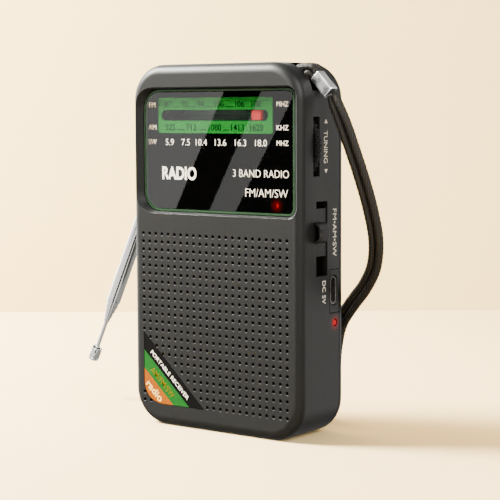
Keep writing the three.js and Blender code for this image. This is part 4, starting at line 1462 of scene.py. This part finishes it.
class RECEIVER_OT_side(bpy.types.Operator):
    """Makes the charging port, the earphone socket and the marks on the sides"""

    bl_idname = "receiver.make_side"
    bl_label = "Ports and side marks"
    bl_options = {"REGISTER", "UNDO"}

    def execute(self, context):
        piece("port_shell", port_socket(), "housing", "dark_steel", ["usb_c_socket"], even=True)
        piece("port_tongue", port_tongue(), "housing", "black_plastic")
        piece("port_contacts", port_contacts(), "housing", "copper", smooth=0)
        piece("port_plate", port_panel(), "housing", "case_plastic", ["port_panel"], even=True)
        jack = Carving(box_solid((-32.6, -21), (10.8, BOARD_GAP), (JACK_Z - 2.9, JACK_Z + 2.9)))
        jack.cut(side_pin(JACK_DEPTH, JACK_Z, 1.8, -34, -23))
        piece("earphone_block", jack.mesh(), "housing", "black_plastic", ["earphone_jack"])
        ring = side_turned(at_depth(JACK_DEPTH), JACK_Z, [
            (1.78, -31.5), (1.78, -32.9), (1.95, -33.05), (2.3, -33.05), (2.45, -32.9), (2.45, -32.6),
            (2.1, -32.55)], 40)
        piece("earphone_ring", ring, "housing", "steel")
        words = [
            ("TUNING", -94.05, 14.6, 2.1, 10.3, 0.0),
            ("FM•AM•SW", -66.4, 19.7, 2.1, 15.3, 0.0),
            ("DC 5V", -47.5, 13.6, 1.9, 7.4, 0.0),
        ]
        piece("side_words", printed(words, on_side), "housing", "case_ink", smooth=0)
        marks = merged(
            flat_shape([(-102.9, 14.7), (-101.6, 13.85), (-101.6, 15.55)], on_side),
            flat_shape([(-85.7, 14.7), (-87.0, 15.55), (-87.0, 13.85)], on_side),
        )
        piece("tuning_marks", marks, "housing", "case_ink", smooth=0)
        return {"FINISHED"}


# ------------------------------------------------------------------------------------ antenna

ARM_ANGLE = math.radians(25)
ARM_ORIGIN = Vector((PIVOT_X, at_depth(PIVOT_DEPTH), PIVOT_Z))
TUBES = (
    (2.5, 2.25, -7.1, -81.0, "antenna_arm"),
    (2.15, 1.9, -10.5, -83.2, "antenna_section_2"),
    (1.8, 1.55, -10.5, -85.2, "antenna_section_3"),
    (1.45, 1.2, -10.5, -87.2, "antenna_section_4"),
    (1.1, 0.85, -10.5, -89.2, "antenna_section_5"),
)


def on_arm(a, b, along):
    """A point of the antenna arm, whose length runs along its own Z."""
    turned = Matrix.Rotation(ARM_ANGLE, 3, "Y") @ Vector((a, b, along))
    return tuple(ARM_ORIGIN + turned)


def arm_turned(profile, steps=48):
    return revolved(profile, on_arm, steps)


def tube_profile(outer, inner, start, end):
    """A drawn tube whose free end is rolled in towards the next section."""
    roll = outer - inner
    return [
        (inner, start), (outer - 0.05, start), (outer, start - 0.1), (outer, end + 1.5),
        (outer - 0.03, end + 1.35), (outer - 0.03, end + 1.15), (outer, end + 1.0), (outer, end + 0.35),
        (outer - roll * 0.3, end + 0.12), (outer - roll * 0.7, end), (inner, end + 0.02), (inner, end + 0.3),
    ]


def knuckle_mesh():
    """The flat round joint that the pivot screw passes through, and its neck."""
    def disc(radius, half, ease):
        near, far = radius - ease, radius - ease * 0.3
        rim = [(near, half), (far, half - ease * 0.3), (radius, half - ease)]
        profile = [(0, -half), *[(r, -along) for r, along in rim], *reversed(rim), (0, half)]
        return revolved(profile, lambda a, b, along: on_arm(a, along, b))

    neck = centred(0, 0, 2.0, 2.1, 0.7, 6)
    knuckle = Carving(disc(3.3, 2.3, 0.35))
    knuckle.join(lofted([[on_arm(a, b, along) for a, b in neck] for along in (-6.7, 0)]))
    knuckle.join(arm_turned([(0, -10), (1.75, -10), (1.95, -9.8), (1.95, -6.4), (0, -6.4)]))
    knuckle.cut(disc(1.65, 3, 0.01))
    return knuckle.mesh()


class RECEIVER_OT_antenna(bpy.types.Operator):
    """Makes the telescopic antenna, its knuckle and its pivot screw"""

    bl_idname = "receiver.make_antenna"
    bl_label = "Antenna"
    bl_options = {"REGISTER", "UNDO"}

    def execute(self, context):
        for i, (outer, inner, start, end, body) in enumerate(TUBES):
            tube = arm_turned(tube_profile(outer, inner, start, end))
            piece(f"aerial_tube_{i + 1}", tube, body, "chrome", [f"antenna_tube_{i + 1}"], 40)
        rod = arm_turned([(0, -103.8), (0.7, -103.8), (0.7, -10.5), (0, -10.5)], 32)
        piece("aerial_rod", rod, "antenna_whip", "chrome", ["antenna_rod"])
        tip = arm_turned([
            (0, -105.3), (1.3, -105.3), (1.6, -105.22), (1.85, -105.02), (1.95, -104.75), (1.95, -104.3),
            (1.87, -104.2), (1.87, -104.0), (1.95, -103.9), (1.95, -100.4), (1.88, -100.2), (1.55, -100.2),
            (1.45, -100.35), (1.45, -104.1), (0, -104.1)])
        piece("aerial_tip", tip, "antenna_whip", "chrome", ["antenna_tip"], 40)
        # A near-black lining inside the tip's cup: painted shade in its hollow.
        lining = arm_turned([
            (0.72, -104.06), (1.43, -104.06), (1.43, -100.5), (1.38, -100.5), (1.38, -104.0), (0.72, -104.0)])
        piece("aerial_tip_lining", lining, "antenna_whip", "felt")
        piece("aerial_knuckle", knuckle_mesh(), "antenna_arm", "chrome", ["antenna_knuckle"],
              even=True)
        screw = Carving(front_turned(PIVOT_X, PIVOT_Z, [
            (0, 14.2), (1.3, 14.2), (1.3, 25.6), (2.6, 25.6), (2.6, 26.05), (2.45, 26.28), (2.1, 26.4),
            (0, 26.4)]))
        screw.cut(box_solid((PIVOT_X - 2.7, PIVOT_X + 2.7), (26.0, 26.6), (PIVOT_Z - 0.28, PIVOT_Z + 0.28)))
        piece("aerial_pivot", screw.mesh(), "housing", "steel", ["antenna_pivot_screw"])
        return {"FINISHED"}


# ------------------------------------------------------------------------------------ wrist strap

# The wrist cord's route in metres: down one strand, round the end of the loop and back up the other.
STRAP_ROUTE = (
    (0.0382, -0.0015, 0.1101), (0.0417, -0.0011, 0.1016), (0.0446, 0.0003, 0.0924), (0.0468, 0.0024, 0.0832),
    (0.0482, 0.0049, 0.0739), (0.0484, 0.0076, 0.0648), (0.0458, 0.0109, 0.0565), (0.0404, 0.0144, 0.0496),
    (0.0336, 0.0172, 0.0431), (0.0272, 0.0197, 0.0358), (0.0238, 0.0210, 0.0263), (0.0224, 0.0217, 0.0165),
    (0.0208, 0.0223, 0.0072), (0.0141, 0.0251, 0.0017), (0.0047, 0.0271, 0.0015), (-0.0023, 0.0278, 0.0015),
    (-0.0097, 0.0262, 0.0015), (-0.0164, 0.0257, 0.0015), (-0.0215, 0.0283, 0.0015), (-0.0229, 0.0339, 0.0015),
    (-0.0195, 0.0385, 0.0015), (-0.0138, 0.0390, 0.0015), (-0.0078, 0.0360, 0.0015), (-0.0015, 0.0317, 0.0015),
    (0.0053, 0.0297, 0.0015), (0.0149, 0.0277, 0.0017), (0.0223, 0.0245, 0.0071), (0.0250, 0.0223, 0.0162),
    (0.0264, 0.0213, 0.0258), (0.0294, 0.0198, 0.0343), (0.0355, 0.0172, 0.0411), (0.0423, 0.0144, 0.0477),
    (0.0482, 0.0109, 0.0553), (0.0511, 0.0076, 0.0645), (0.0509, 0.0049, 0.0742), (0.0495, 0.0024, 0.0837),
    (0.0472, 0.0003, 0.0932), (0.0443, -0.0011, 0.1024), (0.0397, -0.0015, 0.1115),
)
CLIP_X, CLIP_Z, CLIP_LENGTH, CLIP_WIDTH, CLIP_DEPTH = 36.0, 113.9, 7.6, 4.4, 3.6
CLIP_ANGLE = math.radians(-46.6)


def clip_point(along, across, off=0.0):
    """A point of the clip: along it, across it in the strap's plane, and off that plane."""
    cos, sin = math.cos(CLIP_ANGLE), math.sin(CLIP_ANGLE)
    return (CLIP_X + along * cos - across * sin, STRAP_PLANE + off, CLIP_Z + along * sin + across * cos)


def clip_mesh():
    """A strip of sheet folded round both strands, with a shallow waist where it is crimped."""
    wall = 0.42

    def ring(inset, along, pinch):
        radius = max(0.62 - inset, 0.2)
        wide, deep = CLIP_WIDTH / 2 - inset - pinch, CLIP_DEPTH / 2 - inset - pinch * 0.6
        outline = centred(0, 0, wide, deep, radius, 8)
        return [clip_point(along, across, off) for across, off in outline]

    half = CLIP_LENGTH / 2
    lower = ((half, 0.12), (half - 0.15, 0.03), (half - 0.5, 0.0), (2.2, 0.0), (1.6, 0.03), (0.9, 0.06))
    stations = [(-along, pinch) for along, pinch in lower] + list(reversed(lower))
    clip = Carving(lofted([ring(0, along, pinch) for along, pinch in stations]))
    clip.cut(lofted([ring(wall, along, pinch) for along, pinch in ((-half - 1, 0), (half + 1, 0))]))
    return clip.mesh()


STRAND_OFF, SQUEEZE = 1.2, 0.45


def loop_path(off):
    """One strand's way from inside the clip, round the bar and back into the clip."""
    mouth = -CLIP_LENGTH / 2
    end_along = mouth - GAP - 2.4
    bar = Vector((BAR_X, STRAP_PLANE, BAR_Z))
    radius = BAR_RADIUS + 0.2 + STRAND_OFF
    away = Vector(clip_point(end_along, 0)) - bar
    heading = math.atan2(away.z, away.x)
    lean = math.acos((radius - 1.25) / away.length)

    def entry(side):
        """Three places from inside the clip to the start of the bend."""
        inside = [Vector(clip_point(mouth + deep, side * 0.95, off * SQUEEZE)) for deep in (2.5, 0.6)]
        return inside + [Vector(clip_point(end_along + 0.2, side * 1.25, off))]

    bend = arc((0, 0), radius, heading + lean, heading - lean + 4 * QUARTER, 14)
    return entry(1) + [bar + Vector((x, off, z)) for x, z in bend] + list(reversed(entry(-1)))


class RECEIVER_OT_strap(bpy.types.Operator):
    """Makes the wrist strap: its clip, the braided cord, the loop round the bar and the bar"""

    bl_idname = "receiver.make_strap"
    bl_label = "Wrist strap"
    bl_options = {"REGISTER", "UNDO"}

    def execute(self, context):
        settings = context.scene.receiver_strap
        radius = settings.diameter / MM / 2
        pitch = settings.pitch / MM
        clip = piece(
            "cord_clip", clip_mesh(), "housing", "clip_metal", ["strap_clip"], 36, even=True)
        route = catmull([Vector(p) / MM for p in STRAP_ROUTE], 0.34)
        tube = braided_tube(route, radius + 0.08, pitch=pitch, ends=0.64)
        cord = piece("wrist_cord", tube, "housing", "braid", ["strap_cord"], 180)
        length = sum((b - a).length for a, b in zip(route, route[1:])) * MM
        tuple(STRAP_ROUTE[0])
        [tuple(p * MM) for p in route]
        strands = [
            braided_tube(catmull(loop_path(off), 0.3), 1.18, pitch=pitch, ends=0.68)
            for off in (-STRAND_OFF, STRAND_OFF)]
        piece("bar_loop", merged(*strands), "housing", "braid", ["strap_loop"], 180)
        start, end = POCKET_DEPTHS[0] - 1, POCKET_DEPTHS[1] + 1
        bar = front_turned(BAR_X, BAR_Z, [
            (0, start), (BAR_RADIUS - 0.1, start), (BAR_RADIUS, start + 0.1),
            (BAR_RADIUS, end - 0.1), (BAR_RADIUS - 0.1, end), (0, end)])
        piece("cord_bar", bar, "housing", "steel", ["strap_bar"])
        return {"FINISHED"}


# ------------------------------------------------------------------------------------ inside

SLOT_FINISHES = {
    "shell": "case_plastic", "lens": "clear_lens", "trim": "trim_green", "dial": "dial_print",
    "label": "label_film", "cloth": "felt", "steel": "steel", "chrome": "chrome", "paper": "paper_pulp",
    "ferrite": "ferrite", "copper": "copper", "board": "solder_mask", "black": "black_plastic",
    "red": "lamp_red", "cord": "braid", "nylon": "nylon", "wrap": "shrink_film",
}

# Nodes whose finish isn't the usual one of their slot.
NODE_FINISHES = {
    "band_switch_body": "felt", "idler_pulley": "black_plastic", "dial_cord": "felt",
    "pointer_rail": "dark_steel",
}


class RECEIVER_OT_inside(bpy.types.Operator):
    """Gives the parts inside the case, and the others that keep their shape, their finishes"""

    bl_idname = "receiver.finish_inside"
    bl_label = "Inside"
    bl_options = {"REGISTER", "UNDO"}

    def execute(self, context):
        for part in frame["record"]["subparts"]:
            thing = bpy.data.objects.get(part["node"])
            if thing is None:
                raise RuntimeError(f"{part['node']} isn't in the frame")
            finish = finish_named(NODE_FINISHES.get(part["node"], SLOT_FINISHES[part["material_slot"]]))
            if not thing.material_slots:
                thing.data.materials.append(finish)
            for slot in thing.material_slots:
                slot.material = finish
        return {"FINISHED"}


# ------------------------------------------------------------------------------------ stage

CAMERA_PLACE = Vector((315.95, -413.9, 106.4))
CAMERA_YAW = math.radians(36.874)
CAMERA_RISE = math.radians(5.154)
CAMERA_ROLL = math.radians(-0.246)
CAMERA_LENS = 113.1
BACKDROP_DISTANCE, BACKDROP_HEIGHT = 821.0, 1100.0
STAGE_HALF, FLOOR_REACH = 5000.0, 9000.0


def stage_finish(name, colour, see_through=False):
    """Matt paper with the faintest unevenness; a backdrop is clear from behind."""
    finish = Finish(name, Roughness=0.9)
    place = finish.place()
    cloud = finish.noise(place, 0.012, 2)
    finish.feed(Base_Color=finish.mottled(cloud, colour, 0.985, 1))
    if see_through:
        behind = finish.node("ShaderNodeNewGeometry", output="Backfacing")
        clear = finish.node("ShaderNodeBsdfTransparent")
        finish.surface(behind, Socket(finish, finish.shader.outputs[0]), clear)
    return finish.material


def stage_piece(name, corners, material):
    """A flat four-cornered sheet of the stage."""
    mesh = mesh_of(name, corners, [(0, 1, 2, 3)])
    mesh.materials.append(material)
    thing = placed(name, mesh)
    return thing


def card(name, corners, brightness, colour=(1, 0.99, 0.97, 1)):
    """A glowing card that only mirrors show."""
    finish = Finish(name, Base_Color=(0, 0, 0, 1), Roughness=1.0, Specular_IOR_Level=0.0)
    thing = stage_piece(name, corners, finish.lit(brightness, colour).material)
    for ray in ("camera", "diffuse", "shadow", "transmission"):
        setattr(thing, f"visible_{ray}", False)


def area_light(name, place, target, size, power, colour):
    """A square light at a place, facing its target."""
    light = bpy.data.lights.new(name, "AREA")
    light.shape = "RECTANGLE"
    light.size = light.size_y = size * MM
    light.energy = power
    light.color = colour
    thing = placed(name, light)
    thing.location = Vector(place) * MM
    aim = (Vector(target) - Vector(place)).normalized()
    thing.rotation_euler = aim.to_track_quat("-Z", "Y").to_euler()


def mirrored_place(x, z, reach):
    """Where the camera sees a point of the window reflect, at a distance in front of the window."""
    plane = at_depth(LENS_FRONT)
    eye = Vector((CAMERA_PLACE.x, 2 * plane - CAMERA_PLACE.y, CAMERA_PLACE.z))
    ray = Vector((x, plane, z)) - eye
    return eye + ray * ((plane - reach - eye.y) / ray.y)


# Bright cards whose reflections lie on the window: each is four window points and a brightness.
CARDS = (
    (((-42, 125), (9.9, 125), (-23.9, 61), (-42, 61)), 1.2),
    (((25.3, 125), (38.6, 123), (-0.1, 61), (-9.9, 61)), 0.85),
)
CARD_REACH = 390.0
DARK_CARD = ((-230, 330), (100, 330), (100, 56), (-230, 56))

# Upright cards that only the edges and the antenna mirror: azimuths, heights and a brightness.
SIDE_CARDS = (
    ("left_card", -150, -78, -60, 520, 6.0),
    ("edge_card_1", -10, 14, -60, 420, 12.0),
    ("edge_card_2", 26, 74, -60, 420, 1.5),
    ("dark_strip", -74, -62, -200, 700, 0.0),
    ("right_card", 118, 176, -280, 460, 1.8),
)
SIDE_REACH = 640.0
AERIAL_CARDS = (
    ("aerial_card", ((-330, -120, -20), (-128, -120, -20), (-128, -120, 210), (-330, -120, 210)), 1.7),
    ("under_card", ((-380, -440, -60), (200, -440, -60), (200, -40, -60), (-380, -40, -60)), 1.5),
    ("under_strip", ((39, -363, -58), (129, -178, -58), (-47, -49, -58), (-71, -96, -58)), 0.0),
)


def round_about(turn, reach, z):
    """A point at an azimuth, counted from the front towards the right."""
    angle = math.radians(turn)
    return Vector((math.sin(angle) * reach, -math.cos(angle) * reach, z))


class RECEIVER_OT_camera(bpy.types.Operator):
    """Makes the camera"""

    bl_idname = "receiver.make_camera"
    bl_label = "Camera"
    bl_options = {"REGISTER", "UNDO"}

    def execute(self, context):
        level, tilt = math.cos(CAMERA_RISE), CAMERA_ROLL
        back = Vector((math.sin(CAMERA_YAW) * level, -math.cos(CAMERA_YAW) * level, math.sin(CAMERA_RISE)))
        right = Vector((math.cos(CAMERA_YAW), math.sin(CAMERA_YAW), 0))
        up = back.cross(right)
        tilted_right = right * math.cos(tilt) + up * math.sin(tilt)
        tilted_up = up * math.cos(tilt) - right * math.sin(tilt)
        camera = bpy.data.cameras.new("camera")
        camera.lens = CAMERA_LENS
        camera.sensor_width = 36
        camera.clip_start = 0.01
        thing = placed("camera", camera)
        turn = Matrix((tilted_right, tilted_up, back)).transposed().to_4x4()
        thing.matrix_world = Matrix.Translation(CAMERA_PLACE * MM) @ turn
        context.scene.camera = thing
        return {"FINISHED"}


class RECEIVER_OT_stage(bpy.types.Operator):
    """Makes the floor, the backdrop, the lights and the cards that the window mirrors"""

    bl_idname = "receiver.make_stage"
    bl_label = "Stage"
    bl_options = {"REGISTER", "UNDO"}

    def execute(self, context):
        settings = context.scene.receiver_stage
        forward = Vector((-math.sin(CAMERA_YAW), math.cos(CAMERA_YAW), 0))
        across = Vector((math.cos(CAMERA_YAW), math.sin(CAMERA_YAW), 0))
        foot = Vector((CAMERA_PLACE.x, CAMERA_PLACE.y, 0)) + forward * BACKDROP_DISTANCE
        left, right = foot - across * STAGE_HALF, foot + across * STAGE_HALF
        near = forward * FLOOR_REACH
        paper = stage_finish("floor_paper", chosen("receiver_stage", "floor"))
        ground = stage_piece("floor", [left, left - near, right - near, right], paper)
        up = Vector((0, 0, BACKDROP_HEIGHT))
        paper = stage_finish("backdrop_paper", chosen("receiver_stage", "backdrop"), True)
        drop = stage_piece("backdrop", [left, right, right + up, left + up], paper)
        ground.visible_glossy = drop.visible_glossy = False
        shield = [mirrored_place(x, z, CARD_REACH + 40) for x, z in DARK_CARD]
        card("dark_card", shield, 0.0)
        for i, (corners, brightness) in enumerate(CARDS):
            card(f"bright_card_{i + 1}", [mirrored_place(x, z, CARD_REACH) for x, z in corners], brightness)
        for name, corners, brightness in AERIAL_CARDS:
            card(name, corners, brightness, (1, 0.98, 0.95, 1))
        for name, start, end, low, high, brightness in SIDE_CARDS:
            corners = ((start, low), (end, low), (end, high), (start, high))
            card(name, [round_about(turn, SIDE_REACH, z) for turn, z in corners], brightness)
        area_light("key_light", (-760, -330, 760), (0, 60, 40), 420, settings.key_power, (1.0, 0.985, 0.93))
        area_light("fill_light", (620, -160, 420), (0, 0, 60), 500, settings.fill_power, (1.0, 0.98, 0.96))
        wash = foot - across * 460 - forward * 170
        aim = foot - across * 90
        area_light("wall_wash", (wash.x, wash.y, 420), (aim.x, aim.y, 170), 260, settings.wash_power,
                   (1.0, 0.97, 0.9))
        world = bpy.data.worlds.new("soft_light")
        world.use_nodes = True
        background = world.node_tree.nodes["Background"]
        background.inputs["Color"].default_value = (1.0, 0.98, 0.93, 1)
        background.inputs["Strength"].default_value = settings.ambient
        context.scene.world = world
        return {"FINISHED"}


# ------------------------------------------------------------------------------------ add-on

OPERATORS = (
    RECEIVER_OT_camera, RECEIVER_OT_strap, RECEIVER_OT_inside, RECEIVER_OT_case, RECEIVER_OT_window,
    RECEIVER_OT_label, RECEIVER_OT_controls, RECEIVER_OT_side, RECEIVER_OT_antenna, RECEIVER_OT_stage,
)
GROUPS = {
    "receiver_case": CaseSettings,
    "receiver_window": WindowSettings,
    "receiver_label": LabelSettings,
    "receiver_strap": StrapSettings,
    "receiver_antenna": AntennaSettings,
    "receiver_stage": StageSettings,
}


class RECEIVER_PT_panel(bpy.types.Panel):
    """Lists what the receiver is made from"""

    bl_idname = "RECEIVER_PT_panel"
    bl_label = "Pocket receiver"
    bl_space_type = "VIEW_3D"
    bl_region_type = "UI"
    bl_category = "Receiver"

    def draw(self, context):
        for name, group in GROUPS.items():
            box = self.layout.box()
            for setting in group.__annotations__:
                box.prop(getattr(context.scene, name), setting)
        for operator in OPERATORS:
            self.layout.operator(operator.bl_idname)


def register():
    for group in GROUPS.values():
        bpy.utils.register_class(group)
    for name, group in GROUPS.items():
        setattr(bpy.types.Scene, name, bpy.props.PointerProperty(type=group))
    for operator in OPERATORS:
        bpy.utils.register_class(operator)
    bpy.utils.register_class(RECEIVER_PT_panel)


def unregister():
    bpy.utils.unregister_class(RECEIVER_PT_panel)
    for operator in reversed(OPERATORS):
        bpy.utils.unregister_class(operator)
    for name in GROUPS:
        delattr(bpy.types.Scene, name)
    for group in reversed(GROUPS.values()):
        bpy.utils.unregister_class(group)


def main():
    register()
    bpy.ops.receiver.make_camera()
    bpy.ops.receiver.make_strap()
    bpy.ops.receiver.finish_inside()
    bpy.ops.receiver.make_case()
    bpy.ops.receiver.make_window()
    bpy.ops.receiver.make_label()
    bpy.ops.receiver.make_controls()
    bpy.ops.receiver.make_side()
    bpy.ops.receiver.make_antenna()
    bpy.ops.receiver.make_stage()


if __name__ == "__main__":
    main()
